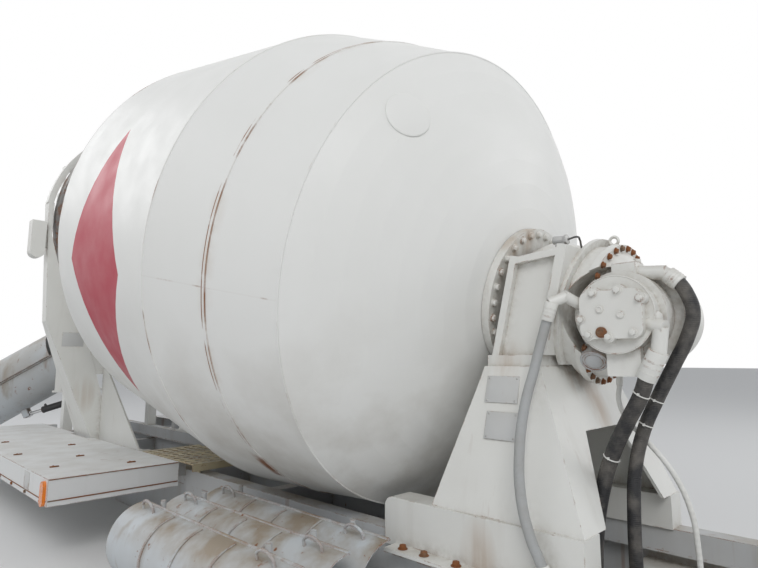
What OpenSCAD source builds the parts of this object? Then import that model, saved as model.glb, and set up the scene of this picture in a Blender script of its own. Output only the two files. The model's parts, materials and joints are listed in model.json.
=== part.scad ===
// Mixer body for a truck chassis: drum, drive, pedestals, fender decks, hoppers and chutes on frame rails.
// Millimetres. Z is up, -Y is the drive end, +Y the chute end. The origin lies midway between the rails,
// at their underside, below the centre of the drum's drive flange.

/* [Frame] */
// Width over the outsides of the frame rails
frame_w = 860; // [800:5:920]
// Height of the frame rails
rail_h = 270; // [240:5:300]
// Height of the subframe on top of the rails
sub_h = 90; // [70:5:120]
// Width of the rails' flanges
rail_flange = 80; // [70:5:100]
// Thickness of the rails' steel
rail_t = 8; // [6:1:12]
// Length of the rails ahead of the drive flange
rail_front = 950; // [850:10:1200]
// Length of the rails behind the drive flange
rail_back = 5320; // [5200:10:5600]
// Radius of the fixing holes in the rails
fix_hole_r = 9; // [6:0.5:12]
// Spacing of the fixing holes along the rails
fix_pitch = 600; // [400:10:700]

/* [Drum] */
// Tilt of the drum's axis
drum_tilt = 13.69; // [12:0.1:15]
// How far the drum's belly hangs below the top of the subframe
drum_sink = 8.8; // [0:0.1:20]
// Radius of the belly
belly_r = 1200; // [1150:5:1210]
// Radius of the front course's weld seam
course_r = 1111; // [1090:5:1130]
// Radius of the dished head's edge
head_r = 1018; // [1000:5:1030]
// Radius of the drum's mouth
mouth_r = 560; // [520:5:600]
// Thickness of the drum's shell
shell_t = 7; // [5:0.5:10]
// Rise of the head's dish
dish_rise = 62; // [40:2:80]
// Width of the track ring
ring_w = 90; // [70:5:110]
// Height of the track ring over the shell
ring_rise = 52; // [40:2:70]
// Height of the fins
fin_h = 290; // [200:10:320]

/* [Drive] */
// Radius of the drive flange
flange_r = 297; // [280:1:310]
// Radius of the gearbox housing
gear_r = 246; // [230:1:255]
// Radius of the output shaft
shaft_r = 95; // [80:1:110]
// Radius of the motor's body
motor_r = 150; // [135:1:160]

/* [Front pedestal] */
// Height of the sills
sill_h = 128; // [100:2:140]
// Width over the pedestal's top
ped_top_w = 600; // [560:5:640]
// Thickness of the pedestal's plates
ped_t = 12; // [8:1:16]

/* [Rear pedestal] */
// Front face of the rear posts
post_y = 3450; // [3440:5:3460]
// Depth of the rear posts at their feet
post_d = 380; // [360:5:400]
// Gap between the track ring and the hoop over it
hoop_gap = 32; // [28:1:45]
// Thickness of the hoop
hoop_t = 42; // [36:1:50]
// Radius of the ring rollers
roller_r = 110; // [100:1:120]
// Angle of the ring rollers from straight below
roller_angle = 30; // [27:1:33]

/* [Fender decks] */
// Outer edge of the decks, from the middle
deck_out = 1200; // [1150:5:1230]
// Front end of the decks
deck_y0 = 2000; // [1950:10:2100]
// Rear end of the decks
deck_y1 = 4780; // [4600:10:4800]
// Height of the decks above the subframe
deck_up = 62; // [50:1:70]
// Depth of the decks' skirts
skirt_h = 135; // [110:5:150]

/* [Chutes] */
// Radius of the chute troughs
chute_r = 290; // [270:5:300]
// Length of the main chute
chute_len = 1235; // [1150:5:1300]
// Slope of the chutes at rest
chute_slope = 30; // [26:1:34]
// Swing of the chutes at rest, from straight back
chute_swing = 45; // [30:5:60]
// Thickness of the chutes' and hoppers' sheet
sheet_t = 5; // [4:0.5:8]

/* [Hidden] */

white = [0.86, 0.86, 0.84];
grime = [0.62, 0.6, 0.56];
steel = [0.55, 0.55, 0.56];
black = [0.1, 0.1, 0.11];
red = [0.75, 0.2, 0.25];

// Stations along the drum's axis, from the drive flange's face
s_head = 319;
s_course = 656;
s_belly = 1023;
s_cone = 2205;
s_ring = 3560;
s_mouth = 4600;

// Heights and places worked out from the sizes above
top_z = rail_h + sub_h;
flange_z = top_z + belly_r*cos(drum_tilt) - s_belly*sin(drum_tilt) - drum_sink;
flange_up = flange_z - top_z;
ped_up = flange_up - 280;
rail_in = frame_w/2 - rail_t;
rest_gap = 0.3;
seat_gap = 0.2;
fit_gap = 0.05;

// The shell's radius along the rear cone
function cone_r(s) = belly_r + 4 - (s - s_cone)*(belly_r + 4 - mouth_r)/(s_mouth - s_cone);
// A place on the drum's axis at station s, moved up by u square to the axis, as [y, z]
function on_axis(s, u = 0) = [s*cos(drum_tilt) - u*sin(drum_tilt),
    flange_z + s*sin(drum_tilt) + u*cos(drum_tilt)];

module both() { children(); mirror([1, 0, 0]) children(); }
module drum_axis() { translate([0, 0, flange_z]) rotate([drum_tilt - 90, 0, 0]) children(); }
// Extrudes an outline given in x and z along y, from y0 on
module along_y(y0, len) { translate([0, y0 + len, 0]) rotate([90, 0, 0]) linear_extrude(len) children(); }
// Extrudes an outline given in y and z along x, from x0 on
module along_x(x0, len) { translate([x0, 0, 0]) rotate([90, 0, 90]) linear_extrude(len) children(); }
module box(x0, x1, y0, y1, z0, z1) { translate([x0, y0, z0]) cube([x1 - x0, y1 - y0, z1 - z0]); }
// Turned shell between stations, outer radii from a list of [station, radius]
module turned(outline) { drum_axis() rotate_extrude($fn = 96) polygon([for (p = outline) [p[1], p[0]]]); }

// Frame

module frame_rails() {
    color(white) both() difference() {
        along_y(-rail_front, rail_front + rail_back) translate([frame_w/2 - rail_flange, 0]) difference() {
            square([rail_flange, rail_h]);
            translate([-1, rail_t]) square([rail_flange - rail_t + 1, rail_h - 2*rail_t]);
        }
        for (y = [-fix_pitch/2, fix_pitch/2])
            translate([frame_w/2 - rail_flange/2, y, -1]) cylinder(r = fix_hole_r, h = rail_t + 2, $fn = 32);
    }
}

sub_wall = 6;
sub_inset = 150;
module subframe() {
    color(white) both() along_y(-rail_front + sub_inset, rail_front + rail_back - sub_inset)
        translate([frame_w/2 - rail_flange, rail_h]) difference() {
            square([rail_flange, sub_h]);
            translate([sub_wall, sub_wall]) square([rail_flange - 2*sub_wall, sub_h - 2*sub_wall]);
        }
}

cross_ys = [-900, 700, 1700, 2700, 3650, 4450, 5160];
cross_z = 40;
cross_h = 190;
cross_w = 90;
module crossmembers() {
    color(grime) for (y = cross_ys) box(-rail_in, rail_in, y, y + rail_t, cross_z, cross_z + cross_h);
    color(grime) for (y = cross_ys, z = [cross_z, cross_z + cross_h - rail_t])
        box(-rail_in, rail_in, y, y + cross_w, z, z + rail_t);
}

// Front pedestal and drive

sill_y0 = -425;
sill_y1 = 385;
sill_in = 335;
sill_out = frame_w/2 + 15;
ledge_w = 70;
sill_round = 40;
module pedestal_sills() {
    color(white) both() {
        along_x(sill_in, sill_out - sill_in) difference() {
            translate([sill_y0, top_z]) square([sill_y1 - sill_y0, sill_h]);
            translate([sill_y1 - sill_round, top_z + sill_h - sill_round]) difference() {
                square(sill_round + 1);
                circle(r = sill_round, $fn = 48);
            }
        }
        box(frame_w/2, sill_out, sill_y0, sill_y1, top_z - 50, top_z);
        box(sill_out, sill_out + ledge_w, sill_y0, sill_y1 - 60, top_z - 50, top_z - 38);
    }
}

ped_y0 = -420;
ped_y1 = 160;
ped_top_y0 = -228;
ped_top_y1 = 0;
ped_mid_y = 24;
ped_mid_up = ped_up - 83;
open_up = ped_up - 225;
open_half = 150;
open_half_low = 330;
// The pedestal's outer form, or its inside where t is its plates' thickness
module pedestal_form(t = 0) {
    z0 = top_z + sill_h - (t > 0 ? 1 : 0);
    z1 = top_z + ped_up - t;
    intersection() {
        along_y(ped_y0 - 10, 700) polygon([[t - frame_w/2, z0], [frame_w/2 - t, z0],
            [ped_top_w/2 - t, z1], [t - ped_top_w/2, z1]]);
        along_x(-frame_w/2, frame_w) polygon([[ped_y0 + t, z0], [ped_y1 - t, z0],
            [ped_mid_y - t, top_z + ped_mid_up], [ped_top_y1 - t, z1], [ped_top_y0 + t, z1]]);
    }
}
module front_pedestal() {
    color(white) difference() {
        pedestal_form();
        pedestal_form(ped_t);
        along_y(ped_y0 - 50, 800) polygon([[-open_half_low, top_z], [open_half_low, top_z],
            [open_half, top_z + open_up], [-open_half, top_z + open_up]]);
    }
}

yoke_s0 = -295;
yoke_s1 = -80;
yoke_half = 285;
// Tops of the yoke's front and back plates, above the drum's axis
yoke_front_up = 218;
yoke_back_up = 155;
yoke_base_up = flange_up - 240;
yoke_plate = 36;
yoke_back_plate = 28;
yoke_rim = 14;
yoke_recess = 26;
// The gearbox's flat underside above the pedestal, and how far forward it reaches
gear_floor = top_z + ped_up + 6;
gear_floor_y = -272;
// A place at height z in the plane square to the drum's axis at station s, as [y, z]
function at_station(s, z) = [(s - (z - flange_z)*sin(drum_tilt))/cos(drum_tilt), z];
// A block across the yoke between two stations, up to its own height above the axis at each
module yoke_block(x, s0, s1, up0, up1) {
    base = top_z + yoke_base_up;
    along_x(-x, 2*x) polygon([on_axis(s0, up0), on_axis(s1, up1), at_station(s1, base), at_station(s0, base)]);
}
module yoke() {
    rim_s0 = yoke_s0 + yoke_plate - 1;
    rim_s1 = yoke_s1 - yoke_back_plate + 1;
    rim_up = yoke_front_up - yoke_rim;
    color(white) difference() {
        union() {
            yoke_block(yoke_half, yoke_s0, yoke_s0 + yoke_plate, yoke_front_up, yoke_front_up);
            yoke_block(yoke_half, yoke_s1 - yoke_back_plate, yoke_s1, yoke_back_up, yoke_back_up);
            yoke_block(yoke_half - yoke_recess, rim_s0, rim_s1, rim_up - yoke_rim, yoke_back_up - yoke_rim);
            // Rim along the top, flush with both plates
            along_x(-yoke_half, 2*yoke_half) polygon([
                on_axis(rim_s0, rim_up), on_axis(rim_s1, yoke_back_up - 2),
                on_axis(rim_s1, yoke_back_up - 2*yoke_rim), on_axis(rim_s0, rim_up - 2*yoke_rim)]);
            box(-yoke_half, yoke_half, ped_top_y0 + 5, ped_top_y1 - 5, top_z + ped_up,
                top_z + yoke_base_up + 1);
        }
        intersection() {
            drum_axis() translate([0, 0, yoke_s0 - 10]) cylinder(r = gear_r + 1, h = 400, $fn = 96);
            box(-yoke_half - 5, yoke_half + 5, -600, 600, gear_floor - 1, flange_z + 600);
        }
    }
}

// Gearbox outline: station and radius, from the drum side forward
gear_flange_r = 278;
gear_outline = [[-62, 0], [-62, gear_r - 30], [-120, gear_r], [yoke_s0, gear_r], [yoke_s0, gear_flange_r],
    [-312, gear_flange_r], [-312, gear_r + 4], [-362, gear_r + 4], [-362, 264], [-390, 264], [-390, 236],
    [-445, 207], [-475, 168], [-560, 168], [-560, 0]];
drive_s = -484;
drive_up = 6;
bevel_r = 165;
bevel_x = 95;
motor_steps = [[bevel_x, 30, motor_r + 30], [bevel_x + 30, 75, motor_r], [bevel_x + 105, 50, motor_r - 22]];
cover_t = 30;
// Half height and half width of the motor's cover, and the radius of its corners and bolt lugs
cover_h = 80;
cover_w = 102;
cover_round = 34;
lug_r = 19;
// Places of the bolt lugs round the cover, as [up, towards the rear]
cover_lugs = [[72, 54], [76, -28], [46, -96], [-14, 98], [-62, -70], [-74, 8], [-66, 74]];
// Port block above the motor: its underside above the motor's axis, its side and its width
port_x = 93;
port_y = -60;
port_w = 80;
// Sideways axis of the motor
module motor_axis() {
    p = on_axis(drive_s, drive_up);
    translate([0, p[0], p[1]]) rotate([0, -90, 0]) children();
}
module gearbox() {
    color(white) difference() {
        union() {
            turned(gear_outline);
            motor_axis() translate([0, 0, -150]) cylinder(r = bevel_r, h = 150 + bevel_x, $fn = 64);
            motor_axis() translate([0, 0, -175]) cylinder(r = bevel_r - 30, h = 30, $fn = 64);
        }
        drum_axis() translate([0, 0, -200]) cylinder(r = shaft_r + fit_gap, h = 200, $fn = 64);
        box(-400, 400, gear_floor_y, 400, 0, gear_floor);
        motor_axis() translate([0, 0, bevel_x]) cylinder(r = motor_r + 30 + rest_gap, h = 400, $fn = 64);
        motor_axis() translate([port_x - rest_gap, port_y - rest_gap, bevel_x + 30 - rest_gap])
            cube([200, port_w + 2*rest_gap, 200]);
    }
}
module cover_outline() {
    square([2*cover_h, 2*(cover_w - cover_round)], center = true);
    square([2*(cover_h - cover_round), 2*cover_w], center = true);
    for (x = [-1, 1], y = [-1, 1]) translate([x*(cover_h - cover_round), y*(cover_w - cover_round)])
        circle(r = cover_round, $fn = 48);
    for (q = cover_lugs) translate(q) circle(r = lug_r, $fn = 32);
}
module hydraulic_motor() {
    color(white) {
        for (m = motor_steps) motor_axis() translate([0, 0, m[0]]) cylinder(r = m[2], h = m[1], $fn = 64);
        motor_axis() translate([0, 0, bevel_x + 155]) linear_extrude(cover_t) cover_outline();
        // Port block below the body
        motor_axis() translate([-202, -70, bevel_x + 60]) cube([100, 110, 70]);
        // Port block above it, stub and elbow of the return hose
        motor_axis() translate([port_x, port_y, bevel_x + 30]) cube([85, port_w, 70]);
        pipe([[-160, -490, 1312], [-160, -600, 1302], return_route[0]], 24);
        // Elbow and ferrule of the supply hose
        pipe([[-225, -530, 1145], [-240, -612, 1120], [-238, -600, 1045], supply_route[0]], 24);
        // Elbow of the side hose
        pipe([[-225, -370, 1195], [-300, -335, 1232], [-330, -298, 1214], side_route[0]], 19);
        // Outlet of the drain tube
        pipe([[-112, -430, 1010], drain_route[0]], 11);
    }
}

// Hoses

// A run of straight round pipe through points, each leg a little longer than its span to close the bends
module pipe(points, r) {
    for (i = [0:len(points) - 2]) let (d = points[i + 1] - points[i], more = i < len(points) - 2 ? r*0.6 : 0)
        translate(points[i]) rotate([0, acos(d[2]/norm(d)), atan2(d[1], d[0])])
            cylinder(r = r - 0.2*i, h = norm(d) + more, $fn = 32);
}

tray_z = 205;
tray_t = 10;
fitting_h = 50;
// Routes of the hoses, from the drive down to their lower fittings
supply_route = [[-230, -560, 975], [-224, -535, 910], [-210, -482, 820], [-194, -422, 710], [-184, -376, 580],
    [-182, -350, 450], [-182, -340, 340], [-182, -336, 265]];
return_route = [[-158, -640, 1280], [-155, -668, 1230], [-152, -682, 1165], [-150, -662, 1095],
    [-150, -614, 1000], [-150, -556, 889], [-150, -510, 790], [-150, -475, 660], [-150, -462, 500],
    [-150, -460, 360], [-150, -460, 265]];
drain_route = [[-112, -425, 930], [-112, -420, 880], [-108, -440, 820], [-100, -500, 750], [-92, -575, 650],
    [-90, -618, 540], [-90, -630, 420], [-90, -632, 330], [-90, -632, 265]];
side_route = [[-330, -280, 1165], [-331, -264, 1115], [-336, -245, 1050], [-352, -232, 980], [-385, -225, 910],
    [-425, -228, 840], [-465, -234, 740], [-485, -244, 600], [-490, -275, 480], [-483, -305, 405],
    [-480, -320, 352]];
supply_r = 25;
return_r = 22;
drain_r = 9;
side_r = 17;
route_steps = 5;
hose_sides = 10;

// A smooth curve through the route's points
function spline(p0, p1, p2, p3, t) = 0.5*(2*p1 + (p2 - p0)*t + (2*p0 - 5*p1 + 4*p2 - p3)*t*t
    + (3*p1 - p0 - 3*p2 + p3)*t*t*t);
function smooth_route(p) = let (n = len(p) - 1) [for (i = [0:n - 1], k = [0:route_steps - 1])
    spline(i == 0 ? 2*p[0] - p[1] : p[i - 1], p[i], p[i + 1], i == n - 1 ? 2*p[n] - p[n - 1] : p[i + 2],
        k/route_steps), p[n]];
function unit(v) = v/norm(v);
// Direction of the route at point i
function heading(p, i) = unit(p[min(i + 1, len(p) - 1)] - p[max(i - 1, 0)]);
// A round tube along a route that never runs along X
module hose(route, r) {
    p = smooth_route(route);
    n = len(p);
    m = hose_sides;
    rings = [for (i = [0:n - 1]) let (h = heading(p, i), a = unit(cross(h, [1, 0, 0])), b = cross(h, a))
        for (k = [0:m - 1]) p[i] + r*(a*cos(360*k/m) + b*sin(360*k/m))];
    sides = [for (i = [0:n - 2], k = [0:m - 1])
        [i*m + k, i*m + (k + 1) % m, (i + 1)*m + (k + 1) % m, (i + 1)*m + k]];
    polyhedron(rings, concat(sides, [[for (k = [m - 1:-1:0]) k]], [[for (k = [0:m - 1]) (n - 1)*m + k]]));
}
module hose_supply() { color(black) hose(supply_route, supply_r); }
module hose_return() { color(black) hose(return_route, return_r); }
module hose_drain() { color(white) hose(drain_route, drain_r); }
module hose_side() { color(grime) hose(side_route, side_r); }

module hose_bracket() {
    color(white) box(-rail_in, rail_in, -700, -290, tray_z, tray_z + tray_t);
}
// Hose ends on the tray: the route and its radius
tray_hoses = [[supply_route, supply_r], [return_route, return_r], [drain_route, drain_r]];
module hose_fittings() {
    color(steel) for (h = tray_hoses) let (p = h[0][len(h[0]) - 1])
        translate([p[0], p[1], tray_z + tray_t]) cylinder(r = h[1] + 6, h = fitting_h, $fn = 6);
    color(steel) let (p = side_route[len(side_route) - 1])
        translate([p[0], p[1], top_z - 38]) cylinder(r = side_r + 6, h = p[2] - top_z + 38, $fn = 6);
}

// Drum

head_steps = 8;
course_steps = [[s_course, course_r], [s_belly, belly_r]];
// The dished head's outline, from the drive flange out to its edge
function head_line(inset) =
    let (p = [0, flange_r - 20], q = [s_head, head_r], d = unit(q - p), nrm = [-d[1], d[0]])
    [for (i = [0:head_steps]) let (t = i/head_steps) p + (q - p)*t + nrm*(dish_rise*4*t*(1 - t) - inset)];
module drum_head() {
    color(white) turned(concat([[0, shaft_r]], head_line(0), [[s_head, head_r - shell_t]],
        [for (i = [head_steps - 1:-1:1]) head_line(shell_t)[i]],
        [[shell_t, flange_r - 25], [shell_t, shaft_r]]));
}
// A wall between stations, outside radii ra to rb
module course(sa, ra, sb, rb) { turned([[sa, ra], [sb, rb], [sb, rb - shell_t], [sa, ra - shell_t]]); }
module drum_front_course() {
    color(white) turned([[s_head, head_r], [s_course, course_r], [s_belly, belly_r],
        [s_belly, belly_r - shell_t], [s_course, course_r - shell_t], [s_head, head_r - shell_t]]);
}
module drum_belly() { color(white) course(s_belly, belly_r, s_cone, belly_r + 4); }
// Width and thickness of the stiffening ring inside the mouth
mouth_lip = 30;
lip_t = 12;
module drum_rear_cone() {
    color(white) turned([[s_cone, cone_r(s_cone)], [s_mouth, mouth_r], [s_mouth, mouth_r - mouth_lip],
        [s_mouth - lip_t, mouth_r - mouth_lip], [s_mouth - lip_t, cone_r(s_mouth - lip_t) - shell_t],
        [s_cone, cone_r(s_cone) - shell_t]]);
}
ring_r = cone_r(s_ring) + ring_rise;
module track_ring() {
    a = s_ring - ring_w/2;
    b = s_ring + ring_w/2;
    color(steel) turned([[a, cone_r(a) + seat_gap], [a, ring_r], [b, ring_r], [b, cone_r(b) + seat_gap]]);
}
module drive_flange() {
    color(white) drum_axis() {
        translate([0, 0, -34]) cylinder(r = flange_r, h = 34, $fn = 96);
        translate([0, 0, -190]) cylinder(r = shaft_r, h = 160, $fn = 64);
        cylinder(r = shaft_r - 0.5, h = 40, $fn = 64);
    }
}
fin_s0 = 2330;
fin_s1 = 4560;
fin_turn = 330;
fin_rings = 40;
fin_t = 8;
fin_gap = 0.3;
// One ring of a fin's section: outer edge, then inner edge, on both faces
function fin_ring(i, start) = let (s = fin_s0 + (fin_s1 - fin_s0)*i/fin_rings, a = start + fin_turn*i/fin_rings,
    ro = cone_r(s + fin_t) - shell_t - fin_gap, h = fin_h*min(1, 0.45 + 1.2*(fin_s1 - s)/(fin_s1 - fin_s0)),
    ri = ro - h) [for (q = [[ro, 0], [ro, fin_t], [ri, fin_t], [ri, 0]]) [q[0]*cos(a), q[0]*sin(a), s + q[1]]];
module fin(start) {
    n = fin_rings;
    points = [for (i = [0:n]) each fin_ring(i, start)];
    sides = [for (i = [0:n - 1], k = [0:3]) each [[4*i + k, 4*i + (k + 1) % 4, 4*i + 4 + k],
        [4*i + (k + 1) % 4, 4*i + 4 + (k + 1) % 4, 4*i + 4 + k]]];
    drum_axis() polyhedron(points, concat(sides, [[3, 2, 1, 0]], [[4*n, 4*n + 1, 4*n + 2, 4*n + 3]]));
}
module drum_fins() { color(steel) for (start = [0, 180]) fin(start); }

// Rear pedestal

post_foot_t = 15;
hoop_r = ring_r + hoop_gap;
hoop_y = post_y;
hoop_w = 60;
// Height of the hoop's centre above the subframe, on the drum's axis less a small drop
hoop_drop = 70;
hoop_up = flange_up + hoop_y*tan(drum_tilt) - hoop_drop;
post_top = hoop_up + 160;
post_knee = hoop_up - 745;
// Outer and inner side of a post, as [x, height above the subframe]
post_line = [[frame_w/2 + 80, post_foot_t], [hoop_r - 24, post_knee], [hoop_r + 21, post_top]];
post_in = [[frame_w/2 - 70, post_foot_t], [hoop_r - 284, post_knee], [hoop_r - 82, post_knee + 420],
    [hoop_r - 19, post_knee + 650], [hoop_r - 19, post_top]];
post_wall = 10;
// Depth of a post from its knee up
post_top_d = 95;
module post_outline(t = 0) {
    function lift(i, n) = i == 0 ? t : i == n ? -t : 0;
    polygon(concat([for (i = [0:2]) post_line[i] + [-t, lift(i, 2)]],
        [for (i = [4:-1:0]) post_in[i] + [t, lift(i, 4)]]));
}
// A post's outer form, or its inside where t is its wall
module post_form(t = 0) {
    translate([0, 0, top_z]) intersection() {
        along_y(post_y + t, post_d - 2*t) post_outline(t);
        along_x(0, 1200) polygon([[post_y + t, 0], [post_y + post_d - t, 0], [post_y + post_d - t, post_foot_t],
            [post_y + post_top_d - t, post_knee], [post_y + post_top_d - t, post_top], [post_y + t, post_top]]);
    }
}
// Rear face of a post at a height above the subframe
function post_rear(up) = post_y + max(post_top_d, post_d - (up - post_foot_t)*(post_d - post_top_d)
    /(post_knee - post_foot_t));
foot_y0 = post_y - 820;
module rear_posts() {
    color(white) both() {
        difference() { post_form(); post_form(post_wall); }
        box(frame_w/2 - rail_flange, deck_in - 5, foot_y0, post_y + post_d + 40, top_z, top_z + post_foot_t);
    }
}
gusset_x = frame_w/2 + 28;
gusset_t = 12;
gusset_up = 590;
module post_gussets() {
    color(white) both() along_x(gusset_x, gusset_t) polygon([[foot_y0 + 20, top_z + post_foot_t],
        [post_y - rest_gap, top_z + post_foot_t], [post_y - rest_gap, top_z + gusset_up],
        [post_y - 110, top_z + gusset_up - 25]]);
}

beam_h = 200;
beam_back = 120;
beam_wall = 12;
// Gap between the rollers and the beam
beam_gap = 60;
roller_dist = ring_r + roller_r + rest_gap;
roller_w = ring_w + 20;
axle_r = 28;
ear_t = 24;
ear_gap = 5;
ear_half = 60;
beam_z = on_axis(s_ring, -roller_dist*cos(roller_angle))[1] - roller_r - beam_gap;
beam_up = beam_z - top_z;
// The beam runs from the posts' front face to behind the lowest place of the track ring
beam_y0 = post_y + 5;
beam_y1 = on_axis(s_ring, -ring_r)[0] + beam_back;
// Half width between the posts' inner sides, at a height above the subframe
function post_inner(up) = post_in[0][0] + (up - post_in[0][1])*(post_in[1][0] - post_in[0][0])
    /(post_in[1][1] - post_in[0][1]);
module roller_beam() {
    low = beam_up - beam_h;
    color(white) difference() {
        along_y(beam_y0, beam_y1 - beam_y0) translate([0, top_z]) polygon([[-post_inner(low), low],
            [post_inner(low), low], [post_inner(beam_up), beam_up], [-post_inner(beam_up), beam_up]]);
        box(-700, 700, beam_y0 + beam_wall, beam_y1 - beam_wall,
            beam_z - beam_h + beam_wall, beam_z - beam_wall);
    }
}
// Places something on the roller's axis, side 1 for +X and -1 for -X
module roller_axis(side) {
    drum_axis() rotate(90 - side*roller_angle) translate([roller_dist, 0, s_ring]) children();
}
module roller(side) {
    color(steel) roller_axis(side) difference() {
        translate([0, 0, -roller_w/2]) cylinder(r = roller_r, h = roller_w, $fn = 64);
        translate([0, 0, -roller_w]) cylinder(r = axle_r + fit_gap, h = 2*roller_w, $fn = 48);
    }
}
module roller_left() { roller(1); }
module roller_right() { roller(-1); }
// Outline of an ear, square to the roller's axis: round at the axle, straight down below it
module ear_outline() {
    circle(r = ear_half, $fn = 48);
    translate([0, -ear_half]) square([600, 2*ear_half]);
}
module roller_brackets() {
    for (side = [1, -1]) {
        color(steel) roller_axis(side) translate([0, 0, -roller_w/2 - ear_gap - ear_t - 4])
            cylinder(r = axle_r, h = roller_w + 2*(ear_gap + ear_t + 4), $fn = 48);
        color(white) difference() {
            for (s = [-roller_w/2 - ear_gap - ear_t, roller_w/2 + ear_gap])
                roller_axis(side) translate([0, 0, s]) rotate(side*roller_angle) linear_extrude(ear_t)
                    ear_outline();
            box(-900, 900, 3000, 5000, 0, beam_z + rest_gap);
        }
    }
}

module hoop() {
    color(white) difference() {
        translate([0, hoop_y + hoop_w, top_z + hoop_up]) rotate([90, 0, 0]) difference() {
            cylinder(r = hoop_r + hoop_t, h = hoop_w, $fn = 128);
            translate([0, 0, -1]) cylinder(r = hoop_r, h = hoop_w + 2, $fn = 128);
        }
        box(-1200, 1200, hoop_y - 10, hoop_y + hoop_w + 10, 0, top_z + post_top);
    }
}
shield_x = hoop_r + 28;
shield_w = 96;
shield_y = post_y - 35;
shield_d = 90;
shield_low = hoop_up - 230;
shield_top = hoop_up;
shield_t = 4;
function post_outer(up) = post_line[1][0] + (up - post_line[1][1])*(post_line[2][0] - post_line[1][0])
    /(post_line[2][1] - post_line[1][1]);
// The shield's outline with a round lower end, or its inside where t is its sheet's thickness
module shield_outline(t = 0) {
    translate([-shield_x - shield_w/2, top_z + shield_low]) {
        translate([t - shield_w/2, 0]) square([shield_w - 2*t, shield_top - shield_low - t]);
        circle(r = shield_w/2 - t, $fn = 64);
    }
}
module lamp_shield() {
    color(white) {
        difference() {
            along_y(shield_y, shield_d) shield_outline();
            along_y(shield_y + shield_t, shield_d) shield_outline(shield_t);
        }
        // Bracket to the post
        let (low = shield_low + 40, high = shield_top - 60)
            along_y(post_y + 10, 40) translate([0, top_z]) polygon([[-post_outer(low), low],
                [-shield_x - 1, low], [-shield_x - 1, high], [-post_outer(high), high]]);
    }
}

// Fender decks, step and ladder

deck_in = 515;
deck_t = 5;
deck_z = top_z + deck_up;
notch_gap = 8;
module fender_decks() {
    x0 = deck_out - deck_t;
    low = deck_z - skirt_h;
    color(white) both() {
        difference() {
            box(deck_in, deck_out, deck_y0, deck_y1, deck_z - deck_t, deck_z);
            box(deck_in - 10, frame_w/2 + 125, post_y - notch_gap, post_y + post_d + notch_gap,
                deck_z - 20, deck_z + 20);
        }
        box(x0, deck_out, deck_y0, deck_y1, low, deck_z);
        for (y = [deck_y0, deck_y1 - deck_t]) box(deck_in, deck_out, y, y + deck_t, low, deck_z);
        box(deck_in, deck_out, deck_y0, deck_y0 + 40, low, low + deck_t);
        box(x0 - 35, deck_out, deck_y0, deck_y1, low, low + deck_t);
    }
}
arm_ys = [2080, 2560, 4060, 4640];
arm_w = 60;
arm_h = 95;
module deck_arms() {
    color(grime) both() for (y = arm_ys)
        box(frame_w/2, deck_out - deck_t, y, y + arm_w, deck_z - deck_t - arm_h, deck_z - deck_t);
}
lamp_w = 56;
lamp_l = 124;
lamp_t = 16;
module marker_lamps() {
    color("orange") both() along_x(deck_out, lamp_t) translate([deck_y0 + 45, deck_z - 75]) union() {
        translate([-lamp_w/2, lamp_w/2 - lamp_l/2]) square([lamp_w, lamp_l - lamp_w]);
        for (z = [-1, 1]) translate([0, z*(lamp_l - lamp_w)/2]) circle(r = lamp_w/2, $fn = 48);
    }
}

step_x0 = -505;
step_x1 = -110;
step_y0 = 1850;
step_y1 = 2540;
step_up = 62;
step_t = 4;
module step_plate() {
    color(grime) {
        difference() {
            box(step_x0, step_x1, step_y0, step_y1, top_z + step_up - step_t, top_z + step_up);
            for (i = [0:6], j = [0:9]) translate([step_x0 + 35 + i*60, step_y0 + 50 + j*72, top_z])
                cylinder(r = 20, h = 200, $fn = 24);
        }
        for (y = [step_y0, step_y1 - step_t])
            box(step_x0, step_x1, y, y + step_t, top_z + step_up - 40, top_z + step_up);
        for (y = [step_y0 + 60, step_y1 - 140])
            box(-frame_w/2, -frame_w/2 + 8, y, y + 40, top_z, top_z + step_up - step_t);
    }
}

ladder_x = 800;
ladder_y0 = 4300;
ladder_y1 = 4680;
ladder_bar = 40;
ladder_up = 1500;
rung_pitch = 290;
platform_up = 850;
module ladder() {
    color(white) {
        for (y = [ladder_y0, ladder_y1 - ladder_bar])
            box(ladder_x, ladder_x + ladder_bar, y, y + ladder_bar, deck_z, top_z + ladder_up);
        for (z = [deck_z + rung_pitch:rung_pitch:top_z + ladder_up - 100])
            translate([ladder_x + ladder_bar/2, ladder_y1, z]) rotate([90, 0, 0])
                cylinder(r = 14, h = ladder_y1 - ladder_y0, $fn = 24);
        // Braces to the rear post
        for (up = [post_knee + 10, post_knee + 250])
            box(ladder_x + 5, ladder_x + 35, post_rear(up), ladder_y0 + 5, top_z + up, top_z + up + 30);
        // Platform beside the hopper
        box(500, ladder_x + 5, ladder_y0, ladder_y1, top_z + platform_up, top_z + platform_up + 25);
        box(690, 730, post_rear(platform_up) + rest_gap, ladder_y0 + 5, top_z + platform_up,
            top_z + platform_up + 25);
    }
}

// Rack and stowed chutes

rack_ys = [480, 1300];
rod_xs = [-530, -726, -922];
rod_r = 12;
rod_top = 395;
rack_bar_z = 4;
rack_bar_h = 36;
module chute_rack() {
    bar_top = rack_bar_z + rack_bar_h;
    color(grime) for (y = rack_ys) {
        box(-1180, -frame_w/2, y - 25, y + 25, rack_bar_z, bar_top);
        for (x = rod_xs) translate([x, y, bar_top - 5])
            cylinder(r = rod_r, h = rod_top - bar_top + 5, $fn = 24);
    }
}
stow_len = 1190;
stow_y = 260;
stow_sheet = 4;
stow_gap = 4;
stow_r = 165;
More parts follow.
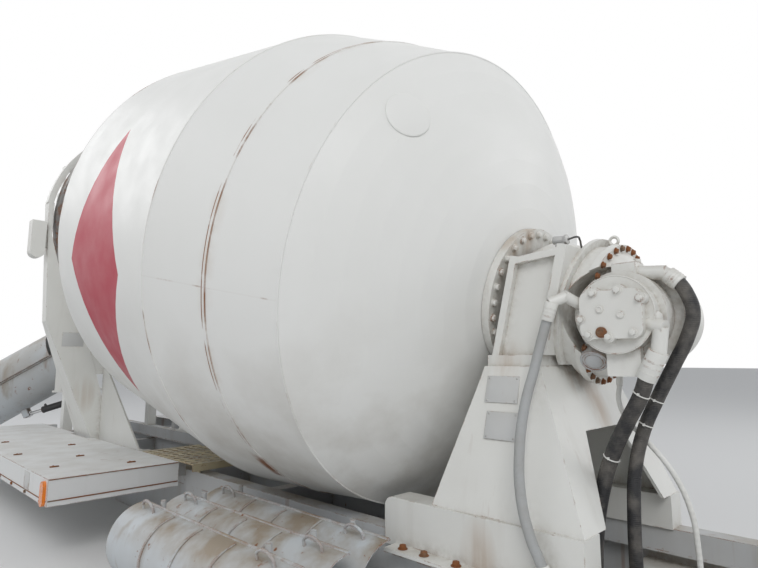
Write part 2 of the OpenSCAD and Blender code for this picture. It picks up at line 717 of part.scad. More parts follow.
// Stowed chutes on edge beside the rods, their open sides towards the rails
module stowed_chutes() {
    color(grime) for (x = rod_xs) along_y(stow_y, stow_len)
        translate([x - rod_r - stow_gap, rack_bar_z + rack_bar_h + stow_r + rest_gap]) difference() {
            circle(r = stow_r, $fn = 64);
            circle(r = stow_r - stow_sheet, $fn = 64);
            translate([0, -stow_r - 1]) square([2*stow_r, 2*stow_r + 2]);
        }
}

// Hoppers

swing_y = 5160;
hop_top = 1740;
hop_low = 1470;
hop_half = 455;
hop_front = 4560;
hop_rear = 5200;
out_half = 200;
out_front = 4990;
out_rear = 5330;
wing_y = 4625;
wing_top = 2300;
wing_t = 7;
flip_y = 5130;
flip_z = 2700;
flip_r = 15;
leg_w = 80;
// The hopper's outer form, or its inside where t is its sheet's thickness
module hopper_form(t = 0) {
    e = t > 0 ? 2 : 0;
    intersection() {
        along_y(4400, 1100) polygon([[t - out_half, hop_low - e], [out_half - t, hop_low - e],
            [hop_half - t, hop_top + e], [t - hop_half, hop_top + e]]);
        along_x(-600, 1200) polygon([[out_front + t, hop_low - e], [out_rear - t, hop_low - e],
            [hop_rear - t, hop_top + e], [hop_front + t, hop_top + e]]);
    }
}
module collection_hopper() {
    color(white) {
        difference() { hopper_form(); hopper_form(sheet_t); }
        both() {
            along_x(hop_half - wing_t, wing_t) polygon([[wing_y, hop_top - 40], [hop_rear, hop_top - 40],
                [hop_rear, wing_top], [flip_y + 40, flip_z + 40], [flip_y - 40, flip_z + 40],
                [flip_y - 60, wing_top], [wing_y, wing_top]]);
            along_x(hop_half - wing_t, wing_t) polygon([[4480, 1250], [4560, 1250], [4900, hop_top - 90],
                [4900, hop_top - 30], [4480, hop_top - 20]]);
            box(frame_w/2 - leg_w, frame_w/2, 4480, 4560, top_z, 1600);
            box(frame_w/2 - leg_w, hop_half - wing_t + 1, 4480, 4560, 1500, 1600);
            translate([hop_half - 60, flip_y, flip_z]) rotate([0, 90, 0])
                cylinder(r = flip_r, h = 60, $fn = 48);
        }
    }
}
flip_top = 3040;
flip_low = 2600;
flip_half = 380;
module funnel_form(t = 0) {
    e = t > 0 ? 2 : 0;
    intersection() {
        along_y(4300, 1100) polygon([[t - 180, flip_low - e], [180 - t, flip_low - e],
            [flip_half - t, flip_top + e], [t - flip_half, flip_top + e]]);
        along_x(-600, 1200) polygon([[4500 + t, flip_low - e], [4760 - t, flip_low - e],
            [5120 - t, flip_top + e], [4440 + t, flip_top + e]]);
    }
}
module charge_hopper() {
    color(white) difference() {
        union() {
            difference() { funnel_form(); funnel_form(sheet_t); }
            box(-425, 425, 5116, 5150, flip_top - 40, flip_top);
            both() box(402, 425, 5090, 5170, flip_z - 40, flip_top);
        }
        translate([-500, flip_y, flip_z]) rotate([0, 90, 0])
            cylinder(r = flip_r + fit_gap, h = 1000, $fn = 48);
    }
}

// Chutes

pin_r = 40;
tilt_out = 150;
tilt_z = 1050;
fork_z = 690;
fork_in = 305;
fork_t = 20;
trunnion_r = 20;
rim_up = 60;
rim_w = 30;
fold_gap = 8;
fold_y = chute_len + 29;
fold_z = rim_up + fold_gap/2;
fold_start = 115;
lift_eye = [720, -285];
lift_foot = [130, 600];
module turntable_post() {
    foot_z = cross_z + cross_h;
    color(white) {
        translate([0, swing_y + 45, foot_z]) cylinder(r = 120, h = 20, $fn = 64);
        translate([0, swing_y, foot_z + 20]) cylinder(r = 70, h = 540 - foot_z, $fn = 64);
        translate([0, swing_y, 540]) cylinder(r = pin_r, h = fork_z - 540, $fn = 64);
    }
}
// Frame of the turntable: y runs outward along the chutes
module swing_frame() { translate([0, swing_y, 0]) rotate(chute_swing) children(); }
// Frame of the chutes: origin on the tilt axis, y runs down along them
module chute_frame() {
    swing_frame() translate([0, tilt_out, tilt_z]) rotate([-chute_slope, 0, 0]) children();
}
module chute_turntable() {
    color(white) swing_frame() difference() {
        union() {
            translate([0, 0, 565]) cylinder(r = 75, h = fork_z - 565, $fn = 64);
            box(-fork_in - fork_t, fork_in + fork_t, -60, 210, fork_z, fork_z + 20);
            both() box(fork_in, fork_in + fork_t, tilt_out - 35, tilt_out + 35, fork_z, tilt_z + 28);
            both() box(28, 40, 60, lift_foot[0] + 15, lift_foot[1] - 30, fork_z + 1);
            translate([-40, lift_foot[0], lift_foot[1]]) rotate([0, 90, 0]) cylinder(r = 12, h = 80, $fn = 32);
        }
        translate([0, 0, 500]) cylinder(r = pin_r + fit_gap, h = fork_z - 500 + 0.01, $fn = 64);
        translate([-400, tilt_out, tilt_z]) rotate([0, 90, 0])
            cylinder(r = trunnion_r + fit_gap, h = 800, $fn = 48);
    }
}
// Section of a trough in x and z, its rim on z = 0
module trough(r) {
    difference() {
        circle(r = r, $fn = 96);
        circle(r = r - sheet_t, $fn = 96);
        translate([-2*r, 0]) square([4*r, 2*r]);
    }
    for (x = [-1, 1]) translate([x*(r - 1 + rim_w/2) - rim_w/2, -6]) square([rim_w, 6]);
}
ear_r = 14;
hinge_r = 10;
// Hinge ear in the fold's plane, on the main chute (side 1) or the fold chute (side -1)
module fold_ear(x, w, side) {
    translate([0, fold_y, fold_z]) {
        translate([x, 0, 0]) rotate([0, 90, 0]) cylinder(r = ear_r, h = w, $fn = 48);
        box(x, x + w, -110, 0, side > 0 ? -ear_r : fold_gap/2, side > 0 ? -fold_gap/2 : ear_r);
    }
}
module main_chute() {
    // Inner end of the trunnions, in the trough's wall
    side_x = sqrt(chute_r*chute_r - rim_up*rim_up) - 6;
    color(grime) chute_frame() {
        along_y(-400, chute_len + 400) translate([0, rim_up]) trough(chute_r);
        both() {
            fold_ear(chute_r + 2, 11, 1);
            translate([chute_r + 2, fold_y, fold_z]) rotate([0, 90, 0]) cylinder(r = hinge_r, h = 30, $fn = 32);
            translate([side_x, 0, 0]) rotate([0, 90, 0])
                cylinder(r = trunnion_r, h = fork_in + fork_t + 4 - side_x, $fn = 48);
            difference() {
                box(26, 38, lift_eye[0] - 30, lift_eye[0] + 30, lift_eye[1] - 25, rim_up - chute_r + 12);
                translate([0, 0, rim_up]) rotate([90, 0, 0])
                    cylinder(r = chute_r - 1, h = 4000, center = true, $fn = 96);
            }
        }
        translate([-38, lift_eye[0], lift_eye[1]]) rotate([0, 90, 0]) cylinder(r = 9, h = 76, $fn = 32);
    }
}
module fold_chute() {
    color(grime) chute_frame() difference() {
        union() {
            along_y(fold_start, chute_len - fold_start) translate([0, rim_up + fold_gap]) mirror([0, 1])
                trough(chute_r);
            both() fold_ear(chute_r + 15, 12, -1);
        }
        translate([-500, fold_y, fold_z]) rotate([0, 90, 0])
            cylinder(r = hinge_r + fit_gap, h = 1000, $fn = 32);
    }
}
// The lift cylinder's own frame: origin at its foot, z along it towards the rod's eye
function chute_place(p) = [tilt_out + p[0]*cos(chute_slope) + p[1]*sin(chute_slope),
    tilt_z - p[0]*sin(chute_slope) + p[1]*cos(chute_slope)];
lift_tip = chute_place(lift_eye);
lift_len = norm(lift_tip - lift_foot);
lift_dir = atan2(lift_tip[1] - lift_foot[1], lift_tip[0] - lift_foot[0]);
barrel_r = 34;
barrel_len = 330;
rod_bar_r = 16;
module lift_frame() {
    swing_frame() translate([0, lift_foot[0], lift_foot[1]]) rotate([lift_dir - 90, 0, 0]) children();
}
module lift_barrel() {
    color(black) lift_frame() difference() {
        union() {
            translate([0, 0, 34]) cylinder(r = barrel_r, h = barrel_len - 4, $fn = 48);
            translate([-20, 0, 0]) rotate([0, 90, 0]) cylinder(r = 26, h = 40, $fn = 48);
            translate([-20, -20, 10]) cube([40, 40, 26]);
        }
        translate([0, 0, 60]) cylinder(r = rod_bar_r + fit_gap, h = barrel_len + 10, $fn = 48);
        translate([-30, 0, 0]) rotate([0, 90, 0]) cylinder(r = 12 + fit_gap, h = 60, $fn = 32);
    }
}
module lift_rod() {
    color(steel) lift_frame() difference() {
        union() {
            translate([0, 0, 110]) cylinder(r = rod_bar_r, h = lift_len - 140, $fn = 48);
            translate([-18, 0, lift_len]) rotate([0, 90, 0]) cylinder(r = 36, h = 36, $fn = 48);
        }
        translate([-30, 0, lift_len]) rotate([0, 90, 0]) cylinder(r = 24, h = 60, $fn = 48);
    }
}

frame_rails();
subframe();
crossmembers();
pedestal_sills();
front_pedestal();
yoke();
gearbox();
hydraulic_motor();
hose_bracket();
hose_fittings();
hose_supply();
hose_return();
hose_drain();
hose_side();
drive_flange();
drum_head();
drum_front_course();
drum_belly();
drum_rear_cone();
track_ring();
drum_fins();
rear_posts();
post_gussets();
roller_beam();
roller_brackets();
roller_left();
roller_right();
hoop();
lamp_shield();
fender_decks();
deck_arms();
marker_lamps();
step_plate();
ladder();
chute_rack();
stowed_chutes();
collection_hopper();
charge_hopper();
turntable_post();
chute_turntable();
main_chute();
fold_chute();
lift_barrel();
lift_rod();
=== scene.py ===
"""Looks of the mixer body: its paint, bolts, fittings, plates and the studio around it.

Everything is in metres, in the same frame as the CAD model. Sizes come from the frame, from the settings or
from the named values beside each group of pieces.
"""
import json
import math

import bpy
from mathutils import Matrix, Vector


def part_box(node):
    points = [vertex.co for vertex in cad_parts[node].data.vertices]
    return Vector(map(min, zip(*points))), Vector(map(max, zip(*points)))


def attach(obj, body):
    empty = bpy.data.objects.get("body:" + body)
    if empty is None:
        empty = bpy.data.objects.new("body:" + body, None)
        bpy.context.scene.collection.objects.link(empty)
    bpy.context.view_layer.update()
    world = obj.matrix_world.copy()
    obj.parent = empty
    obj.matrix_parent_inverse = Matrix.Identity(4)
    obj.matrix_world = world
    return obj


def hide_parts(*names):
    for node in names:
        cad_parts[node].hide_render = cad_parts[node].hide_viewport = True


bl_info = {
    "name": "Mixer Body",
    "version": (1, 0, 0),
    "blender": (4, 5, 0),
    "location": "View3D > Sidebar > Mixer",
    "description": "Dresses the mixer body's CAD model with paint, bolts, fittings and a studio",
    "category": "Object",
}

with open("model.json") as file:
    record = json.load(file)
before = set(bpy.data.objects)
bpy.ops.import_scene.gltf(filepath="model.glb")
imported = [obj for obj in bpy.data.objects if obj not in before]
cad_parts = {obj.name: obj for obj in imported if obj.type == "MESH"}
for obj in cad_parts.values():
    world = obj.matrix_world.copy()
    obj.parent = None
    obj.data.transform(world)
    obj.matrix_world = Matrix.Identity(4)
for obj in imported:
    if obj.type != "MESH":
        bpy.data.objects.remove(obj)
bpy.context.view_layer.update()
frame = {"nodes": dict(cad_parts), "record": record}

# The drum's axis: its tilt and the drive flange's centre
DRUM_TILT = math.radians(13.69)
FLANGE = Vector((0.0, 0.0, 1.275))
DRUM_FRAME = Matrix.Translation(FLANGE) @ Matrix.Rotation(DRUM_TILT - math.pi / 2, 4, "X")
AXIS = DRUM_FRAME.to_3x3() @ Vector((0.0, 0.0, 1.0))

# The drum's weld seams: their stations along the axis, the radius of the bead on each, how far the rust
# reaches to each side of it and how much of it there is
SEAMS = (0.319, 0.656, 1.023, 2.205)
SEAM_RADII = (1.0180, 1.1110, 1.1995, 1.2015)
SEAM_REACHES = (0.0030, 0.0045, 0.0035, 0.0035)
SEAM_RUST = (0.14, 0.78, 0.30, 0.4)

# The rustiest seam, how far its second line and the middle of its rust patch lie behind it, and the patch's
# turn round the drum
RUSTIEST = SEAMS[1]
SECOND_LINE = 0.019
RUST_PATCH_BEHIND = 0.025
RUST_PATCH_TURN = math.radians(-124)

# Turn round the drum of the seam that runs along the front course
COURSE_SEAM_TURN = math.radians(-172)

# The drum's red diamonds: how many, the turn of the first, the station of their middle, half their width
# round the drum, half their length along it, and how far they lean along it for each radian round it
DIAMONDS = 3
DIAMOND_TURN = math.radians(-170.4)
DIAMOND_STATION = 1.622
DIAMOND_HALF_TURN = math.radians(33.6)
DIAMOND_HALF_LENGTH = 0.337
DIAMOND_LEAN = 0.055


class MixerColours(bpy.types.PropertyGroup):
    """Colours of the finishes"""
    drum: bpy.props.FloatVectorProperty(
        name="Drum", description="Paint of the drum",
        subtype="COLOR", size=4, default=(0.80, 0.80, 0.78, 1.0), min=0.0, max=1.0)
    body: bpy.props.FloatVectorProperty(
        name="Body", description="Paint of pedestals and drive",
        subtype="COLOR", size=4, default=(0.78, 0.78, 0.75, 1.0), min=0.0, max=1.0)
    # The frame's grey-blue is its white paint darkened: painted shade for rails that lie in shade
    frame_paint: bpy.props.FloatVectorProperty(
        name="Frame", description="Paint of rails and crossmembers",
        subtype="COLOR", size=4, default=(0.56, 0.58, 0.60, 1.0), min=0.0, max=1.0)
    chute: bpy.props.FloatVectorProperty(
        name="Chutes", description="Paint of the chutes",
        subtype="COLOR", size=4, default=(0.56, 0.60, 0.63, 1.0), min=0.0, max=1.0)
    diamond: bpy.props.FloatVectorProperty(
        name="Diamonds", description="Red of the drum's diamonds",
        subtype="COLOR", size=4, default=(0.44, 0.016, 0.045, 1.0), min=0.0, max=1.0)
    rust: bpy.props.FloatVectorProperty(
        name="Rust", description="Rust on seams, edges and bolts",
        subtype="COLOR", size=4, default=(0.23, 0.085, 0.03, 1.0), min=0.0, max=1.0)
    # The grime colour also serves as painted shade that darkens the corners of the weathered finishes
    grime: bpy.props.FloatVectorProperty(
        name="Grime", description="Dirt in corners and on flat tops",
        subtype="COLOR", size=4, default=(0.36, 0.32, 0.26, 1.0), min=0.0, max=1.0)


class MixerSizes(bpy.types.PropertyGroup):
    """Sizes of the pieces that the scene adds"""
    bolt_across: bpy.props.FloatProperty(
        name="Bolt size", description="Across the flats of the flange bolts",
        default=0.024, min=0.01, max=0.05, unit="LENGTH")
    bead: bpy.props.FloatProperty(
        name="Weld bead", description="Width of the drum's weld beads",
        default=0.007, min=0.002, max=0.02, unit="LENGTH")


# Finishes

class Recipe:
    """The nodes of one material, added one after another."""

    def __init__(self, name):
        self.mat = bpy.data.materials.new(name)
        self.mat.use_nodes = True
        self.nodes = self.mat.node_tree.nodes
        self.links = self.mat.node_tree.links
        self.shader = self.nodes["Principled BSDF"]
        self.place = self.nodes.new("ShaderNodeTexCoord").outputs["Object"]

    def put(self, socket, value):
        """Links a node's output to a socket, or sets a plain value there."""
        if isinstance(value, bpy.types.NodeSocket):
            self.links.new(value, socket)
        elif value is not None:
            socket.default_value = value

    def noise(self, scale, detail=4.0, stretch=(1.0, 1.0, 1.0), rough=0.55, place=None):
        """Cloudy values round 0.5, drawn out along an axis where the stretch there is small."""
        move = self.nodes.new("ShaderNodeMapping")
        self.put(move.inputs["Vector"], place or self.place)
        move.inputs["Scale"].default_value = stretch
        node = self.nodes.new("ShaderNodeTexNoise")
        self.put(node.inputs["Vector"], move.outputs[0])
        node.inputs["Scale"].default_value = scale
        node.inputs["Detail"].default_value = detail
        node.inputs["Roughness"].default_value = rough
        return node.outputs[0]

    def math(self, operation, a, b=None, c=None):
        """One sum on up to three values."""
        node = self.nodes.new("ShaderNodeMath")
        node.operation = operation
        for socket, value in zip(node.inputs, (a, b, c)):
            self.put(socket, value)
        return node.outputs[0]

    def away(self, value, mark):
        """How far a value is from a mark, on either side."""
        return self.math("ABSOLUTE", self.math("SUBTRACT", value, mark))

    def ramp(self, value, low, high, to_low=0.0, to_high=1.0):
        """A value spread from low..high to to_low..to_high, held at its ends."""
        node = self.nodes.new("ShaderNodeMapRange")
        for socket, v in zip(node.inputs, (value, low, high, to_low, to_high)):
            self.put(socket, v)
        return node.outputs[0]

    def mix(self, factor, a, b):
        """Colour a where the factor is 0, colour b where it is 1."""
        node = self.nodes.new("ShaderNodeMix")
        node.data_type = "RGBA"
        for socket, v in zip((node.inputs[0], node.inputs[6], node.inputs[7]), (factor, a, b)):
            self.put(socket, v)
        return node.outputs[2]

    def split(self, place):
        """The x, y and z of a place."""
        node = self.nodes.new("ShaderNodeSeparateXYZ")
        self.put(node.inputs[0], place)
        return node.outputs

    def drum_place(self):
        """Object coordinates turned into the drum's own frame: z is the station along its axis."""
        node = self.nodes.new("ShaderNodeMapping")
        node.vector_type = "TEXTURE"
        node.inputs["Location"].default_value = FLANGE
        node.inputs["Rotation"].default_value = (DRUM_TILT - math.pi / 2, 0.0, 0.0)
        self.put(node.inputs["Vector"], self.place)
        return node.outputs[0]

    def corners(self, reach):
        """1 in the open, falling to 0 deep in corners."""
        node = self.nodes.new("ShaderNodeAmbientOcclusion")
        node.samples = 4
        node.inputs["Distance"].default_value = reach
        return node.outputs["AO"]

    def edges(self, reach):
        """1 along outer and inner edges, 0 on open faces."""
        soft = self.nodes.new("ShaderNodeBevel")
        soft.samples = 3
        soft.inputs["Radius"].default_value = reach
        true = self.nodes.new("ShaderNodeNewGeometry")
        same = self.nodes.new("ShaderNodeVectorMath")
        same.operation = "DOT_PRODUCT"
        self.put(same.inputs[0], soft.outputs[0])
        self.put(same.inputs[1], true.outputs["Normal"])
        return self.ramp(same.outputs["Value"], 0.985, 0.90)

    def upward(self):
        """1 on faces that look up, 0 on upright ones."""
        node = self.nodes.new("ShaderNodeNewGeometry")
        return self.ramp(self.split(node.outputs["Normal"])[2], 0.3, 0.95)

    def finish(self, colour, rough, height=None, depth=0.001, metal=None):
        """Puts what was worked out into the shader and gives the material."""
        self.put(self.shader.inputs["Base Color"], colour)
        self.put(self.shader.inputs["Roughness"], rough)
        if metal is not None:
            self.put(self.shader.inputs["Metallic"], metal)
        if height is not None:
            node = self.nodes.new("ShaderNodeBump")
            node.inputs["Distance"].default_value = depth
            self.put(node.inputs["Height"], height)
            self.put(self.shader.inputs["Normal"], node.outputs[0])
        return self.mat


def most(r, *values):
    """The largest of several mask values."""
    top = values[0]
    for value in values[1:]:
        top = r.math("MAXIMUM", top, value)
    return top


def weathered(name, paint, rust, grime, dirt=0.35, rusty=0.5, rough=0.42, streak=0.5, chipped=0.4, stains=()):
    """Sprayed paint with dirt and painted shade in corners, streaks, chips, rust and stains at given places.
    """
    r = Recipe(name)
    cloud = r.noise(1.6, 5.0)
    fine = r.noise(38.0, 5.0)
    runs = r.noise(9.0, 4.0, (1.0, 1.0, 0.07))
    specks = r.noise(16.0, 8.0, rough=0.72)

    # Dirt in clouds, in streaks down the sides and settled on top; in corners, dirt together with painted
    # shade
    shade = r.mix(r.ramp(cloud, 0.35, 0.7, 0.0, 0.5 * dirt), paint, grime)
    shade = r.mix(r.ramp(runs, 0.56, 0.78, 0.0, streak * dirt), shade, grime)
    # Painted shade, partly dirt: the grime colour darkens the corners that ambient occlusion finds
    openness = r.corners(0.07)
    corner_dirt_and_shade = r.math("MULTIPLY", r.ramp(openness, 0.85, 0.25), r.ramp(fine, 0.3, 0.62))
    shade = r.mix(r.math("MULTIPLY", corner_dirt_and_shade, min(1.0, 1.3 * dirt + 0.25)), shade, grime)
    settled = r.math("MULTIPLY", r.upward(), r.ramp(r.noise(5.0, 6.0), 0.38, 0.66, 0.0, 1.4 * dirt))
    shade = r.mix(settled, shade, grime)

    # Rust: in specks, in corners, on chipped edges and in drips
    eaten = r.ramp(specks, 0.735 - 0.09 * rusty, 0.80 - 0.09 * rusty)
    corner_rust = r.math("MULTIPLY", r.ramp(openness, 0.40, 0.15), r.ramp(specks, 0.5, 0.62, 0.0, rusty))
    patchy = r.ramp(r.noise(13.0, 7.0, rough=0.7), 0.60 - 0.16 * chipped, 0.68 - 0.16 * chipped)
    chips = r.math("MULTIPLY", r.edges(0.006), patchy)
    thin_runs = r.ramp(r.noise(20.0, 3.0, (1.0, 1.0, 0.05)), 0.63, 0.74, 0.0, 0.75 * rusty)
    drips = r.math("MULTIPLY", thin_runs, r.ramp(r.noise(2.4, 4.0), 0.50, 0.66))
    eaten = most(r, eaten, corner_rust, chips, drips)
    shade = r.mix(eaten, shade, rust)

    # Streaky stains round the given places, taller than they are wide
    for x, y, z, reach in stains:
        place = r.nodes.new("ShaderNodeVectorMath")
        place.operation = "MULTIPLY_ADD"
        r.put(place.inputs[0], r.place)
        place.inputs[1].default_value = (1.0, 1.0, 0.55)
        place.inputs[2].default_value = (-x, -y, -0.55 * z)
        far = r.nodes.new("ShaderNodeVectorMath")
        far.operation = "LENGTH"
        r.put(far.inputs[0], place.outputs[0])
        mark = r.math("MULTIPLY", r.ramp(far.outputs["Value"], reach, 0.25 * reach), r.ramp(runs, 0.36, 0.60))
        shade = r.mix(r.math("MULTIPLY", mark, 0.55), shade, (0.36, 0.22, 0.11, 1.0))
    height = r.math("ADD", r.math("MULTIPLY", fine, 0.25), r.math("MULTIPLY", eaten, -0.5))
    return r.finish(shade, r.ramp(eaten, 0.0, 1.0, rough, 0.85), height, 0.0009)


def drum_paint(colours):
    """The drum's paint: chalky white, red diamonds, rust on the weld seams, brown blotches darker towards the
    bottom and faint dents.
    """
    r = Recipe("drum_paint")
    place = r.drum_place()
    x, y, station = r.split(place)
    angle = r.math("ARCTAN2", r.math("MULTIPLY", y, -1.0), x)
    ripple = r.noise(2.2, 3.0)
    station_wavy = r.math("ADD", station, r.ramp(ripple, 0.0, 1.0, -0.004, 0.004))

    # Diamonds, evenly round the drum
    half_share = math.pi / DIAMONDS
    turn = r.math("WRAP", r.math("SUBTRACT", angle, DIAMOND_TURN), half_share, -half_share)
    lean = r.math("MULTIPLY_ADD", turn, DIAMOND_LEAN, r.math("SUBTRACT", station, DIAMOND_STATION))
    along = r.math("DIVIDE", r.math("ABSOLUTE", lean), DIAMOND_HALF_LENGTH)
    around = r.math("DIVIDE", r.math("ABSOLUTE", turn), DIAMOND_HALF_TURN)
    inside = r.ramp(r.math("ADD", along, around), 1.003, 0.997)
    worn = r.ramp(r.noise(5.0, 6.0, place=place), 0.4, 0.75, 0.0, 0.10)
    red = r.mix(worn, colours.diamond, (0.62, 0.36, 0.36, 1.0))

    # Chalking of the white, the diamonds over it, and brown blotches that grow darker towards the bottom of
    # the drum
    cloud = r.noise(0.9, 5.0)
    paint = r.mix(r.ramp(cloud, 0.4, 0.75, 0.0, 0.30), colours.drum, (0.66, 0.66, 0.62, 1.0))
    paint = r.mix(r.math("MULTIPLY", inside, 0.97), paint, red)
    blotches = r.ramp(r.noise(3.4, 6.0), 0.42, 0.7, 0.0, 0.6)
    low = r.math("MULTIPLY", r.ramp(r.split(r.place)[2], 1.25, 0.35), blotches)
    paint = r.mix(low, paint, colours.grime)

    # Rust on the weld seams round the drum, on the rustiest in two lines
    rusty = r.noise(6.0, 6.0)
    lines = []
    for seam, reach, share in zip(SEAMS, SEAM_REACHES, SEAM_RUST):
        near = r.ramp(r.away(station_wavy, seam), reach, reach * 0.4)
        patchy = r.ramp(rusty, 0.60 - 0.2 * share, 0.75 - 0.2 * share, 0.1 * share, 1.0)
        lines.append(r.math("MULTIPLY", near, patchy))
    twin = r.ramp(r.away(station_wavy, RUSTIEST + SECOND_LINE), 0.0035, 0.0012)
    lines.append(r.math("MULTIPLY", twin, r.ramp(rusty, 0.47, 0.58)))

    # Rust on the seam along the front course
    in_course = r.math("MULTIPLY", r.ramp(station, SEAMS[0], SEAMS[0] + 0.002),
                       r.ramp(station, SEAMS[2], SEAMS[2] - 0.002))
    lengthwise = r.ramp(r.away(angle, COURSE_SEAM_TURN), 0.0035, 0.0012)
    lines.append(r.math("MULTIPLY", r.math("MULTIPLY", lengthwise, in_course),
                        r.ramp(rusty, 0.56, 0.70, 0.04, 0.8)))

    # Rust patch beside the rustiest seam where it comes round low
    low_turn = r.ramp(r.away(angle, RUST_PATCH_TURN), 0.17, 0.08)
    low_seam = r.ramp(r.away(station_wavy, RUSTIEST + RUST_PATCH_BEHIND), 0.040, 0.012)
    lines.append(r.math("MULTIPLY", r.math("MULTIPLY", low_turn, low_seam), r.ramp(rusty, 0.42, 0.52)))
    line = most(r, *lines)
    paint = r.mix(line, paint, colours.rust)

    # Brown stain on both sides of the rustiest seam
    beside = r.ramp(r.away(station_wavy, RUSTIEST), 0.05, 0.0)
    stain = r.math("MULTIPLY", beside, r.ramp(rusty, 0.52, 0.75, 0.0, 0.35))
    paint = r.mix(stain, paint, (0.45, 0.33, 0.22, 1.0))

    # Soft shine, faint dents and a fine grain
    r.shader.inputs["Specular IOR Level"].default_value = 0.3
    dents = r.noise(1.4, 2.0)
    height = r.math("ADD", r.math("MULTIPLY", dents, 4.0), r.math("MULTIPLY", r.noise(60.0, 3.0), 0.12))
    height = r.math("SUBTRACT", height, r.math("MULTIPLY", line, 0.6))
    return r.finish(paint, r.ramp(r.noise(7.0, 4.0), 0.3, 0.7, 0.34, 0.5), height, 0.0012)


def steel(name, colour, rust, share=0.4, rough=0.4, metal=0.85):
    """Bare metal that has begun to rust."""
    r = Recipe(name)
    spread = r.noise(7.0, 8.0, rough=0.7)
    brushed = r.noise(24.0, 4.0, (1.0, 1.0, 0.1))
    eaten = r.ramp(spread, 0.66 - 0.28 * share, 0.76 - 0.28 * share)
    shade = r.mix(r.ramp(brushed, 0.3, 0.7, 0.0, 0.5), colour, [0.6 * c for c in colour[:3]] + [1.0])
    shade = r.mix(eaten, shade, rust)
    return r.finish(shade, r.ramp(eaten, 0.0, 1.0, rough, 0.88), r.noise(90.0, 4.0), 0.0004,
                    r.ramp(eaten, 0.0, 1.0, metal, 0.1))


def hose_skin(name, colour, dusty, pitch, rough=0.6):
    """Ribbed or braided hose with dust on it."""
    r = Recipe(name)
    z = r.split(r.place)[2]
    rib = r.math("SINE", r.math("MULTIPLY", z, 2.0 * math.pi / pitch))
    dust = r.ramp(r.noise(11.0, 6.0), 0.42, 0.72, 0.0, dusty)
    shade = r.mix(dust, colour, (0.34, 0.31, 0.27, 1.0))
    height = r.math("ADD", r.math("MULTIPLY", rib, 0.5), r.noise(120.0, 2.0))
    return r.finish(shade, rough, height, 0.0008)


def lens(name, colour, waves=900.0):
    """Moulded lamp lens with fine prisms, their waves given in radians per metre of height."""
    r = Recipe(name)
    prisms = r.math("SINE", r.math("MULTIPLY", r.split(r.place)[2], waves))
    shade = r.mix(r.ramp(r.noise(40.0, 3.0), 0.4, 0.7, 0.0, 0.25), colour, (0.3, 0.2, 0.12, 1.0))
    r.shader.inputs["Coat Weight"].default_value = 0.6
    return r.finish(shade, 0.25, prisms, 0.0006)


# Rust stains on the body: place and reach
STAINS = ((-0.063, -0.235, 0.965, 0.09), (0.03, -0.275, 0.835, 0.09), (-0.28, -0.10, 0.985, 0.07),
          (-0.62, 3.46, 1.20, 0.08), (-0.60, 3.46, 0.75, 0.09), (-0.445, -0.05, 0.36, 0.08),
          (-0.096, -0.095, 1.520, 0.07), (-0.200, -0.070, 1.450, 0.05))


def make_finishes():
    """All finishes by their short names, coloured by the settings."""
    c = bpy.context.scene.mixer_colours
    rust, grime = tuple(c.rust), tuple(c.grime)
    return {
        "drum": drum_paint(c),
        "body": weathered("body_paint", tuple(c.body), rust, grime, dirt=0.34, rusty=0.42, stains=STAINS),
        # Painted shade: the frame's white paint darkened to grey-blue; the dirt and rust on it are real
        "frame": weathered("frame_paint", tuple(c.frame_paint), rust, grime,
                           dirt=0.7, rusty=0.9, rough=0.6, chipped=0.8),
        "deck": weathered("deck_paint", (0.74, 0.75, 0.75, 1.0), rust, (0.52, 0.50, 0.46, 1.0),
                          dirt=0.35, rusty=0.55, rough=0.5, chipped=1.0),
        "step": weathered("step_paint", (0.66, 0.57, 0.36, 1.0), rust, grime,
                          dirt=0.7, rusty=0.8, rough=0.6, chipped=0.8),
        "plate": weathered("plate_paint", (0.60, 0.61, 0.61, 1.0), rust, grime,
                           dirt=0.5, rusty=0.3, rough=0.4),
        "chute": weathered("chute_paint", tuple(c.chute), rust, (0.30, 0.25, 0.19, 1.0),
                           dirt=0.95, rusty=1.3, rough=0.6, streak=1.0, chipped=1.0),
        "black_paint": weathered("black_paint", (0.03, 0.03, 0.035, 1.0), rust, (0.2, 0.18, 0.15, 1.0),
                                 dirt=0.4),
        "steel": steel("rusting_steel", (0.30, 0.29, 0.28, 1.0), rust, share=0.6, rough=0.5, metal=0.7),
        "rusty": steel("rusty_bolts", (0.22, 0.15, 0.10, 1.0), rust, share=0.9, rough=0.6, metal=0.5),
        "zinc": steel("zinc_plate", (0.50, 0.50, 0.49, 1.0), rust, share=0.25, rough=0.5, metal=0.7),
        "chrome": steel("polished_rod", (0.72, 0.72, 0.72, 1.0), rust, share=0.0, rough=0.12, metal=1.0),
        "black_hose": hose_skin("black_hose", (0.022, 0.022, 0.024, 1.0), dusty=0.45, pitch=0.006),
        "grey_hose": hose_skin("grey_hose", (0.42, 0.43, 0.43, 1.0), dusty=0.4, pitch=0.004),
        "white_tube": hose_skin("white_tube", (0.74, 0.74, 0.71, 1.0), dusty=0.25, pitch=0.02),
        "amber": lens("amber_lens", (0.86, 0.22, 0.01, 1.0)),
        "red": lens("red_lens", (0.50, 0.01, 0.01, 1.0)),
    }


# Filled by the first operator with what make_finishes gives
FINISHES = {}

